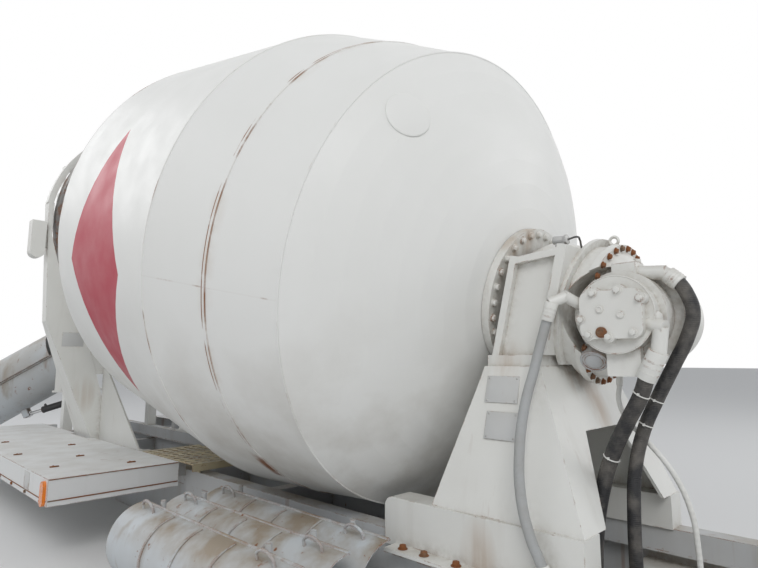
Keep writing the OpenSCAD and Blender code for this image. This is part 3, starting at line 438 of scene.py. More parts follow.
# The finish of each CAD node, where it isn't the body's paint
NODE_FINISH = {
    "frame_rails": "frame", "subframe": "frame", "crossmembers": "frame", "hose_bracket": "body",
    "hose_fittings": "steel", "hose_supply": "black_hose", "hose_return": "black_hose",
    "hose_drain": "white_tube", "hose_side": "grey_hose", "drum_head": "drum", "drum_front_course": "drum",
    "drum_belly": "drum", "drum_rear_cone": "drum", "track_ring": "steel", "drum_fins": "steel",
    "roller_left": "steel", "roller_right": "steel", "fender_decks": "deck", "deck_arms": "frame",
    "marker_lamps": "amber", "step_plate": "step", "chute_rack": "frame", "stowed_chutes": "chute",
    "main_chute": "chute", "fold_chute": "chute", "lift_barrel": "black_paint", "lift_rod": "chrome",
}


class MIXER_OT_finishes(bpy.types.Operator):
    """Gives every CAD node its painted, steel or rubber finish"""
    bl_idname = "mixer.finishes"
    bl_label = "Finishes"

    def execute(self, context):
        FINISHES.update(make_finishes())
        for name in frame["nodes"]:
            obj = bpy.data.objects[name]
            obj.data.materials.clear()
            obj.data.materials.append(FINISHES[NODE_FINISH.get(name, "body")])
        return {"FINISHED"}


# Making pieces

def facing(axis):
    """The turn that lays +Z along an axis."""
    return Vector(axis).to_track_quat("Z", "Y").to_euler()


def on_drum(station, radius, degrees):
    """A point round the drum's axis, 90 degrees being up, and the direction that leads out to it."""
    turn = math.radians(degrees)
    out = Vector((math.cos(turn), -math.sin(turn), 0.0))
    return DRUM_FRAME @ (out * radius + Vector((0.0, 0.0, station))), DRUM_FRAME.to_3x3() @ out


def peg(spot, axis, radius, height, sides=24, top=None):
    """A round or many-sided peg, or a cone, that stands on a spot along an axis."""
    axis = Vector(axis).normalized()
    bpy.ops.object.select_all(action="DESELECT")
    bpy.ops.mesh.primitive_cone_add(vertices=sides, radius1=radius, radius2=radius if top is None else top,
                                    depth=height, location=Vector(spot) + axis * (height / 2),
                                    rotation=facing(axis))
    return bpy.context.object


def block(centre, size, turn=(0.0, 0.0, 0.0)):
    """A square-edged block round its centre."""
    bpy.ops.object.select_all(action="DESELECT")
    bpy.ops.mesh.primitive_cube_add(size=1.0, location=centre, rotation=turn)
    bpy.context.object.scale = size
    return bpy.context.object


def hoop(spot, axis, major, minor, steps=48, sides=8):
    """A ring of round wire about an axis."""
    bpy.ops.object.select_all(action="DESELECT")
    bpy.ops.mesh.primitive_torus_add(location=spot, rotation=facing(axis),
                                     major_radius=major, minor_radius=minor,
                                     major_segments=steps, minor_segments=sides)
    return bpy.context.object


def dome(spot, axis, radius, flat=0.5):
    """A ball pressed flat along its axis, half of it standing out of what carries it."""
    bpy.ops.object.select_all(action="DESELECT")
    bpy.ops.mesh.primitive_uv_sphere_add(segments=24, ring_count=12, radius=radius, location=spot,
                                         rotation=facing(axis))
    bpy.context.object.scale = (1.0, 1.0, flat)
    return bpy.context.object


def tube(points, radius, sides=4, steps=8):
    """A round tube on one smooth curve through its points."""
    bpy.ops.object.select_all(action="DESELECT")
    bpy.ops.curve.primitive_bezier_curve_add(location=(0.0, 0.0, 0.0))
    line = bpy.context.object
    spline = line.data.splines[0]
    spline.bezier_points.add(len(points) - 2)
    for knot, spot in zip(spline.bezier_points, points):
        knot.co = spot
        knot.handle_left_type = "AUTO"
        knot.handle_right_type = "AUTO"
    line.data.dimensions = "3D"
    line.data.bevel_depth = radius
    line.data.bevel_resolution = sides
    line.data.resolution_u = steps
    line.data.use_fill_caps = True
    return line


def bolt(spot, axis, across):
    """A hexagon head on its washer."""
    axis = Vector(axis).normalized()
    return [peg(spot, axis, 0.72 * across, 0.12 * across, 16),
            peg(Vector(spot) + axis * (0.11 * across), axis, 0.575 * across, 0.5 * across, 6, 0.5 * across)]


def settle(name, parts, body, finish, bevel=0.0, angle=35.0):
    """Joins parts into one piece, rounds its edges, gives it its finish and lets it ride a body."""
    bpy.ops.object.select_all(action="DESELECT")
    for part in parts:
        part.select_set(True)
    bpy.context.view_layer.objects.active = parts[0]
    bpy.ops.object.convert(target="MESH")
    if len(parts) > 1:
        bpy.ops.object.join()
    bpy.ops.object.transform_apply(location=True, rotation=True, scale=True)
    piece = bpy.context.object
    if bevel:
        bpy.ops.object.modifier_add(type="BEVEL")
        rounding = piece.modifiers[-1]
        rounding.width = bevel
        rounding.segments = 2
        rounding.limit_method = "ANGLE"
        bpy.ops.object.modifier_apply(modifier=rounding.name)
    bpy.ops.object.mode_set(mode="EDIT")
    bpy.ops.mesh.select_all(action="SELECT")
    bpy.ops.mesh.normals_make_consistent(inside=False)
    bpy.ops.object.mode_set(mode="OBJECT")
    bpy.ops.object.shade_smooth_by_angle(angle=math.radians(angle))
    piece.name = name
    piece.data.materials.clear()
    piece.data.materials.append(FINISHES[finish])
    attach(piece, body)
    return piece


# The drive end

# Directions that several pieces face, the near side being the photographed one
UP = Vector((0.0, 0.0, 1.0))
NEAR = Vector((-1.0, 0.0, 0.0))
REAR = Vector((0.0, 1.0, 0.0))

# Stations along the drum's axis: the drive flange's bolts, the gearbox's flange and the face of its nose
FLANGE_STATION = -0.034
GEARBOX_STATION = -0.390
NOSE_STATION = -0.560

# Bolt circles at those stations: radius and number
FLANGE_CIRCLE = (0.272, 28)
GEARBOX_CIRCLE = (0.2515, 30)
NOSE_CIRCLE = (0.120, 8)

# The gearbox's bolts across their flats, and the radii of the seal and the plate on its nose
GEARBOX_BOLT = 0.018
NOSE_SEAL_R = 0.155
NOSE_PLATE_R = 0.100

# Lifting eye on the yoke and plug on the gearbox: station, radius and degrees round the axis
EYE_PLACE = (-0.336, 0.250, 90.0)
PLUG_PLACE = (-0.440, 0.203, 95.0)

# Middle of the motor cover's outer face and, from there to the rear and up, its bolts, plugs and port
MOTOR = Vector((-0.280, -0.4717, 1.1663))
MOTOR_BOLTS = ((0.054, 0.072), (-0.028, 0.076), (-0.096, 0.046), (0.098, -0.014), (-0.070, -0.062),
               (0.008, -0.074), (0.074, -0.066))
MOTOR_PLUGS = ((0.033, 0.017), (-0.034, -0.004))
MOTOR_PORT = (0.030, -0.059)

# Joint line of the motor's cover: how far it lies in from the outer face, and its radius
MOTOR_JOINT_DEPTH = 0.0305
MOTOR_JOINT_R = 0.1285

# Nut on the motor's front and the drain cap below it: place and the way it faces
MOTOR_NUT = Vector((-0.228, -0.590, 1.152))
MOTOR_NUT_LOOK = (-0.35, -0.9, 0.1)
DRAIN_CAP = Vector((-0.200, -0.377, 1.013))
DRAIN_CAP_LOOK = Vector((-0.72, -0.12, -0.68)).normalized()
DRAIN_CAP_LENGTH = 0.055

# Speed sensor on the yoke's corner, and its wire's route from there to the gearbox
SENSOR = Vector((-0.265, -0.322, 1.437))
SENSOR_WIRE = ((0.0, -0.010, 0.0), (0.030, -0.030, 0.012), (0.080, -0.020, 0.010),
               (0.125, -0.004, -0.004), (0.150, 0.002, -0.022))


def bolt_circle(name, body, finish, station, radius, count, across):
    """Bolts round the drum's axis, their heads towards the drive end."""
    parts = []
    for i in range(count):
        spot = on_drum(station, radius, 360.0 * (i + 0.5) / count)[0]
        parts += bolt(spot, -AXIS, across)
    return settle(name, parts, body, finish, bevel=0.0012)


class MIXER_OT_drive(bpy.types.Operator):
    """Adds the bolts, plugs, sensor and lifting eye of the drum's drive"""
    bl_idname = "mixer.drive"
    bl_label = "Drive"

    def execute(self, context):
        flange_bolt = context.scene.mixer_sizes.bolt_across
        bolt_circle("drive_flange_bolts", "drum", "body", FLANGE_STATION, *FLANGE_CIRCLE, flange_bolt)
        bolt_circle("gearbox_bolts", "root", "rusty", GEARBOX_STATION, *GEARBOX_CIRCLE, GEARBOX_BOLT)
        bolt_circle("gearbox_nose_bolts", "root", "body", NOSE_STATION, *NOSE_CIRCLE, GEARBOX_BOLT)
        add_gearbox_details()
        add_motor_details()
        add_sensor()
        add_eye_and_plug()
        return {"FINISHED"}


def add_gearbox_details():
    """Black seal and raised plate on the gearbox's nose."""
    nose = on_drum(NOSE_STATION, 0.0, 0.0)[0]
    settle("gearbox_nose_seal", [hoop(nose, AXIS, NOSE_SEAL_R, 0.004, 64)], "root", "black_paint")
    settle("gearbox_nose_plate", [peg(nose, -AXIS, NOSE_PLATE_R, 0.006, 48)], "root", "body", bevel=0.002)


def add_motor_details():
    """Cover bolts, plugs, the rusty port, the cover's joint line, the front nut and the cap below."""
    parts = []
    for y, z in MOTOR_BOLTS:
        parts += bolt(MOTOR + Vector((0.0, y, z)), NEAR, 0.021)
    settle("motor_cover_bolts", parts, "root", "body", bevel=0.001)
    parts = []
    for y, z in MOTOR_PLUGS:
        spot = MOTOR + Vector((0.0, y, z))
        parts += [peg(spot, NEAR, 0.0125, 0.004, 24), hoop(spot + NEAR * 0.004, NEAR, 0.0085, 0.0022, 24, 6)]
    settle("motor_plugs", parts, "root", "body")
    port = MOTOR + Vector((0.0, *MOTOR_PORT))
    parts = [peg(port, NEAR, 0.018, 0.006, 24), hoop(port + NEAR * 0.006, NEAR, 0.011, 0.003, 24, 6)]
    settle("motor_port", parts, "root", "rusty")
    line = hoop(MOTOR - NEAR * MOTOR_JOINT_DEPTH, NEAR, MOTOR_JOINT_R, 0.0022, 64, 6)
    settle("motor_joint", [line], "root", "body")
    settle("motor_side_nut", bolt(MOTOR_NUT, MOTOR_NUT_LOOK, 0.034), "root", "body", bevel=0.0015)
    inner = DRAIN_CAP - DRAIN_CAP_LOOK * DRAIN_CAP_LENGTH
    parts = [peg(inner, DRAIN_CAP_LOOK, 0.046, DRAIN_CAP_LENGTH, 40),
             hoop(DRAIN_CAP, DRAIN_CAP_LOOK, 0.042, 0.004, 40, 8),
             dome(DRAIN_CAP, DRAIN_CAP_LOOK, 0.030, 0.25)]
    settle("motor_drain_cap", parts, "root", "frame", bevel=0.002)


def add_sensor():
    """Speed sensor on the yoke's corner, with its wire to the gearbox."""
    parts = [peg(SENSOR, (0.0, 1.0, 0.1), 0.015, 0.040, 24),
             peg(SENSOR, (0.0, -1.0, 0.0), 0.019, 0.012, 6),
             block(SENSOR + Vector((0.0, 0.012, -0.017)), (0.030, 0.034, 0.012))]
    settle("speed_sensor", parts, "root", "zinc", bevel=0.001)
    route = [SENSOR + Vector(step) for step in SENSOR_WIRE]
    settle("sensor_wire", [tube(route, 0.0035, 3)], "root", "black_hose")


def add_eye_and_plug():
    """Lifting eye on the yoke and oil plug on the gearbox."""
    eye, up = on_drum(*EYE_PLACE)
    parts = [peg(eye, up, 0.015, 0.012, 24), hoop(eye + up * 0.026, (1.0, 0.0, 0.0), 0.016, 0.006, 32)]
    settle("lifting_eye", parts, "root", "body")
    plug, up = on_drum(*PLUG_PLACE)
    settle("gearbox_plug", bolt(plug, up, 0.026), "root", "body", bevel=0.001)


# Hydraulic hoses

# Node: radius, finish, and the route that its CAD solid follows from the drive down
HOSES = {
    "hose_supply": (0.025, "black_hose", (
        (-0.230, -0.560, 0.975), (-0.224, -0.535, 0.910), (-0.210, -0.482, 0.820), (-0.194, -0.422, 0.710),
        (-0.184, -0.376, 0.580), (-0.182, -0.350, 0.450), (-0.182, -0.340, 0.340), (-0.182, -0.336, 0.265))),
    "hose_return": (0.022, "black_hose", (
        (-0.158, -0.640, 1.280), (-0.155, -0.668, 1.230), (-0.152, -0.682, 1.165), (-0.150, -0.662, 1.095),
        (-0.150, -0.614, 1.000), (-0.150, -0.556, 0.889), (-0.150, -0.510, 0.790), (-0.150, -0.475, 0.660),
        (-0.150, -0.462, 0.500), (-0.150, -0.460, 0.360), (-0.150, -0.460, 0.265))),
    "hose_drain": (0.009, "white_tube", (
        (-0.112, -0.425, 0.930), (-0.112, -0.420, 0.880), (-0.108, -0.440, 0.820), (-0.100, -0.500, 0.750),
        (-0.092, -0.575, 0.650), (-0.090, -0.618, 0.540), (-0.090, -0.630, 0.420), (-0.090, -0.632, 0.330),
        (-0.090, -0.632, 0.265))),
    "hose_side": (0.017, "grey_hose", (
        (-0.330, -0.280, 1.165), (-0.331, -0.264, 1.115), (-0.336, -0.245, 1.050), (-0.352, -0.232, 0.980),
        (-0.385, -0.225, 0.910), (-0.425, -0.228, 0.840), (-0.465, -0.234, 0.740), (-0.485, -0.244, 0.600),
        (-0.490, -0.275, 0.480), (-0.483, -0.305, 0.405), (-0.480, -0.320, 0.352))),
}

# How far a hose is drawn inside its nominal radius
HOSE_INSET = 0.0003

# Crimped ferrules at the hoses' ends: start, end and radius
FERRULES = (
    ((-0.238, -0.600, 1.045), (-0.2285, -0.553, 0.958), 0.0305),
    ((-0.330, -0.298, 1.214), (-0.330, -0.276, 1.152), 0.0225),
    ((-0.159, -0.618, 1.294), (-0.157, -0.652, 1.262), 0.0285),
    ((-0.182, -0.336, 0.262), (-0.182, -0.338, 0.320), 0.0300),
    ((-0.150, -0.460, 0.262), (-0.150, -0.460, 0.316), 0.0270),
    ((-0.090, -0.632, 0.262), (-0.090, -0.632, 0.292), 0.0130),
    ((-0.4805, -0.3175, 0.360), (-0.483, -0.306, 0.402), 0.0220),
)

# Where the crimps lie along a ferrule, as shares of its length
CRIMPS = (0.35, 0.55, 0.75)

# Cable ties round the hoses: place, the hose's direction there, and radius
TIES = (
    ((-0.224, -0.535, 0.910), (0.1, 0.5, -0.85), 0.0258),
    ((-0.150, -0.556, 0.889), (0.0, 0.45, -0.9), 0.0228),
    ((-0.150, -0.519, 0.810), (0.0, 0.42, -0.9), 0.0228),
    ((-0.193, -0.417, 0.697), (0.1, 0.4, -0.9), 0.0258),
)


def lay_hose(node, radius, finish, route):
    """One hose in place of its CAD solid, from the drive to its lower fitting."""
    hose = tube(route, radius - HOSE_INSET, 6, 8)
    hose.name = node.replace("hose", "hydraulic_hose")
    hose.data.materials.append(FINISHES[finish])
    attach(hose, "root")
    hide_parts(node)


class MIXER_OT_hoses(bpy.types.Operator):
    """Lays the hydraulic hoses and adds their ferrules and ties"""
    bl_idname = "mixer.hoses"
    bl_label = "Hoses"

    def execute(self, context):
        for node, (radius, finish, route) in HOSES.items():
            lay_hose(node, radius, finish, route)
        ferrules = []
        for start, end, radius in FERRULES:
            axis = Vector(end) - Vector(start)
            ferrules.append(peg(start, axis, radius, axis.length, 32))
            for share in CRIMPS:
                ferrules.append(hoop(Vector(start) + axis * share, axis, radius - 0.0005, 0.0018, 32, 6))
        settle("hose_ferrules", ferrules, "root", "body", bevel=0.001)
        ties = []
        for spot, axis, radius in TIES:
            ties.append(hoop(spot, axis, radius, 0.0022, 32, 6))
            ties.append(block(Vector(spot) + Vector((-radius - 0.002, 0.0, 0.0)), (0.007, 0.006, 0.008)))
        settle("cable_ties", ties, "root", "white_tube")
        return {"FINISHED"}


# The drum and the body

# Taken from the frame: the subframe's top, the rails' outer side, and the decks' lowest and highest corner
SUBFRAME_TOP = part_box("subframe")[1][2]
RAIL_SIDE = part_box("frame_rails")[1][0]
DECK_LOW, DECK_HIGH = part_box("fender_decks")

# Welded patch on the drum's head: station, radius and degrees round the axis, how far it faces out and
# towards the drive end, and its own radius
HEAD_PATCH_PLACE = (0.2165, 0.880, 137.6)
HEAD_PATCH_OUT = 0.553
HEAD_PATCH_BACK = 0.833
HEAD_PATCH_R = 0.086

# Inspection cover on the belly: station, radius and degrees round the axis, the radii of its frame and its
# cover, and the circle, number and size of its bolts
HATCH_PLACE = (1.62, 1.180, 20.0)
HATCH_FRAME_R = 0.230
HATCH_COVER_R = 0.205
HATCH_BOLT_R = 0.182
HATCH_BOLTS = 14
HATCH_BOLT = 0.019

# The cover's handles: how far from its middle they stand, and their route along the drum's turn and outwards
HANDLE_SPREAD = 0.10
HANDLE_ROUTE = ((-0.05, 0.0), (-0.04, 0.022), (0.04, 0.022), (0.05, 0.0))

# Blank plates on the pedestal's side, leaning with it: middle, width and height
PEDESTAL_LEAN = math.radians(16.0)
PLATES = ((-0.3225, -0.086, 0.912, 0.135, 0.098), (-0.3565, -0.098, 0.787, 0.130, 0.098))
PLATE_THICK = 0.003
RIVET_INSET = 0.010
RIVET_R = 0.004

# Blank plates on the near upright's front and on the near skirt: middle and size
FLAT_PLATES = (
    ((-0.705, 3.4485, 1.17), (0.150, 0.003, 0.105)),
    ((-1.2010, 2.378, 0.362), (0.002, 0.100, 0.095)),
)

# Nuts on the sills: how far out, their height, where they stand along the rails, and across the flats
SILL_NUT_X = 0.480
SILL_NUT_Z = 0.322
SILL_NUT_Y = (0.260, 0.158, 0.016, -0.140, -0.240)
SILL_NUT = 0.026

# Bolts along the decks' side skirts: height, first place, step, number, and across the flats
SKIRT_BOLT_Z = 0.304
SKIRT_BOLT_Y = 2.10
SKIRT_BOLT_STEP = 0.29
SKIRT_BOLTS = 10
SKIRT_BOLT = 0.015

# Bolts of the uprights' foot plates: how far out, the plates' thickness, the places, and across the flats
FOOT_BOLT_X = 0.385
FOOT_THICK = 0.015
FOOT_BOLT_Y = (2.72, 2.95, 3.18, 3.60, 3.80)
FOOT_BOLT = 0.024

# Red lamps at the decks' rear: how far out, height, and the radii of cup and lens
REAR_LAMP_X = (-1.06, -0.90, 0.90, 1.06)
REAR_LAMP_Z = 0.354
LAMP_CUP_R = 0.050
LAMP_LENS_R = 0.043

# The decks' inner sides, and the height and thickness of the lips along their front and side skirts
DECK_INNER = 0.515
LIP_Z = 0.314
FRONT_LIP = 0.003
SIDE_LIP = 0.0024

# How much shorter a lip is than its skirt
FRONT_LIP_SHORT = 0.009
SIDE_LIP_SHORT = 0.020

# Clips on the decks' tops, mirrored from side to side: how far out and how far back, and their bolts
CLIP_BOLT = 0.010
CLIPS = ((0.72, 2.18), (1.08, 2.34), (0.86, 2.62), (1.12, 2.95), (0.75, 3.15), (1.05, 3.62),
         (1.10, 4.05), (1.02, 4.50))

# Tread bars on the platform: two slanting rows, the first bar's place, the step, number, height and turn
TREAD_ROWS = ((0.60, 0.5), (0.70, -0.5))
TREAD_Y = 4.34
TREAD_STEP = 0.075
TREAD_BARS = 5
TREAD_Z = 1.2355

# The stowed chutes, standing on edge: where their open sides are, their middle's height and their radius
STOWED_X = (-0.546, -0.742, -0.938)
STOWED_Z = 0.205
STOWED_R = 0.165

# Along each stowed chute: its bands, the knots of its edge bead and its handles, and a band's radius
BAND_Y = (0.62, 0.86, 1.10)
BEAD_Y = (0.262, 0.86, 1.448)
HANDLE_Y = (0.40, 1.30)
BAND_R = STOWED_R + 0.003

# Half the length of a roller's axle
AXLE_HALF = 0.088

# The lift cylinder's barrel, from its foot along it: the rings at its gland and its end, and the ports
GLAND_RINGS = ((0.352, 0.0035), (0.060, 0.003))
BARREL_RING_R = 0.0335
PORTS = (0.080, 0.325)

# Bolts on the rails' webs: their places along the rails, their two heights, and across the flats
RAIL_BOLT_Y = (-0.72, 0.62, 0.94, 1.50, 1.74, 3.05, 4.20, 4.92)
RAIL_BOLT_Z = (0.175, 0.235)
RAIL_BOLT = 0.024


class MIXER_OT_body(bpy.types.Operator):
    """Adds weld beads, covers, plates, bolts and lamps to the drum and the body"""
    bl_idname = "mixer.body"
    bl_label = "Body"

    def execute(self, context):
        add_drum_details(context.scene.mixer_sizes.bead)
        add_plates()
        add_body_bolts()
        add_rear_lamps()
        add_deck_trim()
        add_chute_bands()
        add_pivots()
        add_rail_bolts()
        return {"FINISHED"}


def add_drum_details(bead):
    """Weld beads at the seams, a welded patch on the head and the inspection cover."""
    beads = []
    for station, radius in zip(SEAMS, SEAM_RADII):
        middle = on_drum(station, 0.0, 0.0)[0]
        beads.append(hoop(middle, AXIS, radius, bead / 2, 240, 6))
    settle("drum_seam_beads", beads, "drum", "drum")

    spot, out = on_drum(*HEAD_PATCH_PLACE)
    look = out * HEAD_PATCH_OUT - AXIS * HEAD_PATCH_BACK
    patch = [peg(spot - look * 0.006, look, HEAD_PATCH_R, 0.010, 64),
             hoop(spot, look, HEAD_PATCH_R, 0.0035, 64, 8)]
    settle("head_patch", patch, "drum", "drum", bevel=0.001)

    hatch, out = on_drum(*HATCH_PLACE)
    turned = out.cross(AXIS)
    parts = [peg(hatch, out, HATCH_FRAME_R, 0.024, 64), peg(hatch, out, HATCH_COVER_R, 0.033, 64)]
    for i in range(HATCH_BOLTS):
        turn = 2.0 * math.pi * i / HATCH_BOLTS
        outwards = AXIS * math.cos(turn) + turned * math.sin(turn)
        parts += bolt(hatch + out * 0.032 + outwards * HATCH_BOLT_R, out, HATCH_BOLT)
    for side in (-1.0, 1.0):
        middle = hatch + out * 0.030 + AXIS * (side * HANDLE_SPREAD)
        parts.append(tube([middle + turned * d + out * h for d, h in HANDLE_ROUTE], 0.006))
    settle("inspection_cover", parts, "drum", "body", bevel=0.0012)


def add_plates():
    """Blank plates, those on the pedestal's side with rivets in their corners."""
    plates, rivets = [], []
    for x, y, z, width, height in PLATES:
        plates.append(block((x, y, z), (PLATE_THICK, width, height), (0.0, PEDESTAL_LEAN, 0.0)))
        for dy in (-1.0, 1.0):
            for dz in (-1.0, 1.0):
                rise = dz * (height / 2 - RIVET_INSET)
                spot = (x - PLATE_THICK / 2 + rise * math.tan(PEDESTAL_LEAN),
                        y + dy * (width / 2 - RIVET_INSET), z + rise)
                rivets.append(dome(spot, (-1.0, 0.0, 0.3), RIVET_R))
    for middle, size in FLAT_PLATES:
        plates.append(block(middle, size))
    settle("blank_plates", plates, "root", "plate", bevel=0.0008)
    settle("plate_rivets", rivets, "root", "zinc")


def add_body_bolts():
    """Nuts on the sills, and bolts along the skirts and at the feet of the uprights."""
    nuts, skirt, feet = [], [], []
    for side in (-1.0, 1.0):
        for y in SILL_NUT_Y:
            nuts += bolt((side * SILL_NUT_X, y, SILL_NUT_Z), UP, SILL_NUT)
        for i in range(SKIRT_BOLTS):
            spot = (side * DECK_HIGH[0], SKIRT_BOLT_Y + SKIRT_BOLT_STEP * i, SKIRT_BOLT_Z)
            skirt += bolt(spot, (side, 0.0, 0.0), SKIRT_BOLT)
        for y in FOOT_BOLT_Y:
            feet += bolt((side * FOOT_BOLT_X, y, SUBFRAME_TOP + FOOT_THICK), UP, FOOT_BOLT)
    settle("sill_nuts", nuts, "root", "rusty", bevel=0.0012)
    settle("skirt_bolts", skirt, "root", "rusty", bevel=0.0008)
    settle("foot_bolts", feet, "root", "body", bevel=0.0012)


def add_rear_lamps():
    """Red lamps at the rear of the decks, each in a black cup."""
    lenses, cups = [], []
    for x in REAR_LAMP_X:
        spot = Vector((x, DECK_HIGH[1] - 0.004, REAR_LAMP_Z))
        cups.append(peg(spot, REAR, LAMP_CUP_R, 0.015, 40))
        lenses.append(dome(spot + REAR * 0.011, REAR, LAMP_LENS_R, 0.2))
    settle("rear_lamp_cups", cups, "root", "black_paint", bevel=0.002)
    settle("rear_lamp_lenses", lenses, "root", "red")


def add_deck_trim():
    """Rusty lips along the skirts' edges, clips on the decks' tops and a tread on the platform."""
    lips, clips, bars = [], [], []
    top = DECK_HIGH[2]
    front_x = (DECK_INNER + DECK_HIGH[0]) / 2
    front_y = DECK_LOW[1] - FRONT_LIP / 2
    front_width = DECK_HIGH[0] - DECK_INNER - FRONT_LIP_SHORT
    side_x = DECK_HIGH[0] + SIDE_LIP / 2
    side_y = (DECK_LOW[1] + DECK_HIGH[1]) / 2
    side_length = DECK_HIGH[1] - DECK_LOW[1] - SIDE_LIP_SHORT
    for side in (-1.0, 1.0):
        lips.append(block((side * front_x, front_y, LIP_Z), (front_width, FRONT_LIP, 0.006)))
        lips.append(block((side * side_x, side_y, LIP_Z), (SIDE_LIP, side_length, 0.005)))
        lips.append(block((side * front_x, front_y, top - 0.004), (front_width, FRONT_LIP, 0.004)))
        for x, y in CLIPS:
            clips.append(block((side * x, y, top + 0.003), (0.045, 0.016, 0.006)))
            clips += bolt((side * x, y + 0.020, top), UP, CLIP_BOLT)
    settle("deck_lips", lips, "root", "rusty", bevel=0.0008)
    settle("deck_clips", clips, "root", "rusty", bevel=0.0010)
    for i in range(TREAD_BARS):
        for x, turn in TREAD_ROWS:
            spot = (x, TREAD_Y + TREAD_STEP * i, TREAD_Z)
            bars.append(block(spot, (0.16, 0.006, 0.003), (0.0, 0.0, turn)))
    settle("platform_tread", bars, "root", "zinc", bevel=0.0008)


def add_chute_bands():
    """Stiffening bands, edge beads and carrying handles of the stowed chutes."""
    parts, handles = [], []
    arc = [math.radians(degrees) for degrees in range(-80, 81, 20)]
    top = STOWED_Z + STOWED_R
    for x in STOWED_X:
        for y in BAND_Y:
            band = [(x - BAND_R * math.cos(a), y, STOWED_Z + BAND_R * math.sin(a)) for a in arc]
            parts.append(tube(band, 0.0055, 3, 3))
        parts.append(tube([(x - 0.006, y, top) for y in BEAD_Y], 0.007, 3, 2))
        for y in HANDLE_Y:
            grip = [(x - 0.050, y - 0.05, top - 0.010), (x - 0.055, y - 0.045, top + 0.018),
                    (x - 0.055, y + 0.045, top + 0.018), (x - 0.050, y + 0.05, top - 0.010)]
            handles.append(tube(grip, 0.006, 3, 6))
    settle("stowed_chute_bands", parts, "root", "chute")
    settle("stowed_chute_handles", handles, "root", "chute")


def joint(name):
    """One of the record's joints."""
    return next(row for row in frame["record"]["behaviour"]["joints"] if row["name"] == name)


def add_pivots():
    """Nuts of the roller axles, and the lift cylinder's gland and ports."""
    nuts = []
    for name in ("roller_left_turn", "roller_right_turn"):
        middle = Vector(joint(name)["pos_m"])
        for way in (-1.0, 1.0):
            end = middle + AXIS * (way * AXLE_HALF)
            nuts.append(peg(end, AXIS * way, 0.036, 0.005, 32))
            nuts.append(peg(end + AXIS * (way * 0.004), AXIS * way, 0.028, 0.018, 6, 0.026))
    settle("roller_axle_nuts", nuts, "root", "steel", bevel=0.0015)

    foot = Vector(joint("lift_barrel_turn")["pos_m"])
    along = Vector(joint("lift_rod_slide")["axis"])
    up = (UP - along * along.z).normalized()
    gland = [hoop(foot + along * place, along, BARREL_RING_R, wire, 40) for place, wire in GLAND_RINGS]
    for place in PORTS:
        gland += [peg(foot + along * place + up * 0.030, up, 0.014, 0.014, 24),
                  peg(foot + along * place + up * 0.043, up, 0.011, 0.012, 6)]
    settle("lift_gland_and_ports", gland, "lift_barrel", "black_paint", bevel=0.001)


def add_rail_bolts():
    """Pairs of bolts along the outer faces of the rails."""
    bolts = []
    for side in (-1.0, 1.0):
        for y in RAIL_BOLT_Y:
            for z in RAIL_BOLT_Z:
                bolts += bolt((side * RAIL_SIDE, y, z), (side, 0.0, 0.0), RAIL_BOLT)
    settle("rail_bolts", bolts, "root", "frame", bevel=0.0012)


# The studio

FLOOR_SIZE = 160.0
FLOOR_CENTRE = (0.0, 2.0, 0.0)

# The lamps: name, place, edge of the square that shines, and power. All look at one point in the drum
LAMPS = (
    ("key", (-7.0, -6.0, 8.0), 6.0, 520.0),
    ("fill", (7.0, -6.0, 5.0), 6.0, 170.0),
    ("back", (-5.0, 10.0, 7.0), 6.0, 240.0),
)
LAMP_TARGET = Vector((0.0, 1.5, 1.2))

# The photograph's viewpoint: place and turn, then its lens and sensor in millimetres
CAMERA_PLACE = (-2.081, -1.189, 1.018)
CAMERA_TURN = (math.radians(90.0 + 7.84), math.radians(-0.05), math.radians(-45.5))
CAMERA_LENS = 26.13
CAMERA_SENSOR = 36.0


class MIXER_OT_studio(bpy.types.Operator):
    """Lays the floor and sets the lamps, the sky and the camera"""
    bl_idname = "mixer.studio"
    bl_label = "Studio"

    def execute(self, context):
        add_floor()
        add_sky()
        add_lamps()
        add_camera()
        return {"FINISHED"}


def add_floor():
    """A wide pale floor under the rails."""
    bpy.ops.object.select_all(action="DESELECT")
    bpy.ops.mesh.primitive_plane_add(size=FLOOR_SIZE, location=FLOOR_CENTRE)
    floor = bpy.context.object
    floor.name = "studio_floor"
    mat = bpy.data.materials.new("studio_floor")
    mat.use_nodes = True
    nodes, links = mat.node_tree.nodes, mat.node_tree.links
    shader = nodes["Principled BSDF"]
    shader.inputs["Roughness"].default_value = 0.9
    speckle = nodes.new("ShaderNodeTexNoise")
    speckle.inputs["Scale"].default_value = 6.0
    mix = nodes.new("ShaderNodeMix")
    mix.data_type = "RGBA"
    mix.inputs[6].default_value = (0.80, 0.80, 0.80, 1.0)
    mix.inputs[7].default_value = (0.84, 0.84, 0.83, 1.0)
    links.new(speckle.outputs[0], mix.inputs[0])
    links.new(mix.outputs[2], shader.inputs["Base Color"])
    floor.data.materials.append(mat)


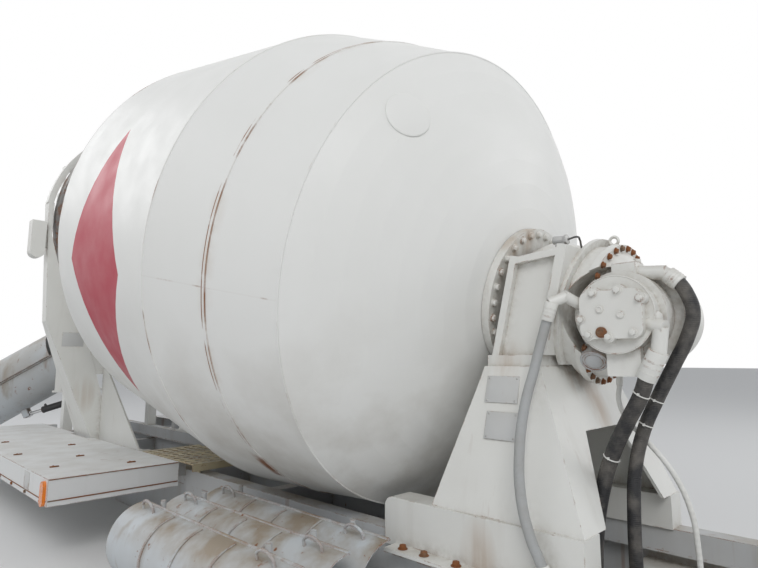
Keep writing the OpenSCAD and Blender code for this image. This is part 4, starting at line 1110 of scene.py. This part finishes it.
def add_sky():
    """A plain grey-white light all round, that camera and reflections see as white."""
    world = bpy.data.worlds.new("studio_sky")
    bpy.context.scene.world = world
    world.use_nodes = True
    nodes, links = world.node_tree.nodes, world.node_tree.links
    nodes.clear()
    path = nodes.new("ShaderNodeLightPath")
    light = nodes.new("ShaderNodeBackground")
    light.inputs["Color"].default_value = (0.93, 0.96, 1.0, 1.0)
    light.inputs["Strength"].default_value = 0.42
    seen = nodes.new("ShaderNodeBackground")
    seen.inputs["Color"].default_value = (1.0, 1.0, 1.0, 1.0)
    seen.inputs["Strength"].default_value = 1.0

    # The white is seen by camera, glossy or transmission rays, whichever comes
    looking = path.outputs["Is Camera Ray"]
    for kind in ("Is Glossy Ray", "Is Transmission Ray"):
        either = nodes.new("ShaderNodeMath")
        either.operation = "MAXIMUM"
        links.new(looking, either.inputs[0])
        links.new(path.outputs[kind], either.inputs[1])
        looking = either.outputs[0]
    pick = nodes.new("ShaderNodeMixShader")
    links.new(looking, pick.inputs[0])
    links.new(light.outputs[0], pick.inputs[1])
    links.new(seen.outputs[0], pick.inputs[2])
    out = nodes.new("ShaderNodeOutputWorld")
    links.new(pick.outputs[0], out.inputs["Surface"])


def add_lamps():
    """A broad key from behind the camera, a weak fill from its right and one from its left."""
    for name, spot, size, power in LAMPS:
        data = bpy.data.lights.new(name, "AREA")
        data.energy = power
        data.size = size
        lamp = bpy.data.objects.new(name, data)
        lamp.location = spot
        aim = LAMP_TARGET - Vector(spot)
        lamp.rotation_euler = aim.to_track_quat("-Z", "Y").to_euler()
        bpy.context.collection.objects.link(lamp)


def add_camera():
    """The photograph's viewpoint, beside the drive end and low down."""
    data = bpy.data.cameras.new("camera")
    data.sensor_fit = "HORIZONTAL"
    data.sensor_width = CAMERA_SENSOR
    data.lens = CAMERA_LENS
    camera = bpy.data.objects.new("camera", data)
    camera.location = CAMERA_PLACE
    camera.rotation_euler = CAMERA_TURN
    bpy.context.collection.objects.link(camera)
    bpy.context.scene.camera = camera
    bpy.context.scene.view_settings.view_transform = "Standard"


class MIXER_PT_panel(bpy.types.Panel):
    """Settings and steps of the mixer body"""
    bl_label = "Mixer Body"
    bl_idname = "MIXER_PT_panel"
    bl_space_type = "VIEW_3D"
    bl_region_type = "UI"
    bl_category = "Mixer"

    def draw(self, context):
        for group in (context.scene.mixer_colours, context.scene.mixer_sizes):
            for name in group.__annotations__:
                self.layout.prop(group, name)
        for step in STEPS:
            self.layout.operator(step.bl_idname)


STEPS = (MIXER_OT_finishes, MIXER_OT_drive, MIXER_OT_hoses, MIXER_OT_body, MIXER_OT_studio)
GROUPS = (MixerColours, MixerSizes)


def register():
    for cls in GROUPS + STEPS + (MIXER_PT_panel,):
        bpy.utils.register_class(cls)
    bpy.types.Scene.mixer_colours = bpy.props.PointerProperty(type=MixerColours)
    bpy.types.Scene.mixer_sizes = bpy.props.PointerProperty(type=MixerSizes)


def unregister():
    del bpy.types.Scene.mixer_sizes
    del bpy.types.Scene.mixer_colours
    for cls in reversed(GROUPS + STEPS + (MIXER_PT_panel,)):
        bpy.utils.unregister_class(cls)


def main():
    """Registers the add-on and runs all steps in order."""
    register()
    for step in STEPS:
        group, name = step.bl_idname.split(".")
        getattr(getattr(bpy.ops, group), name)()


if __name__ == "__main__":
    main()
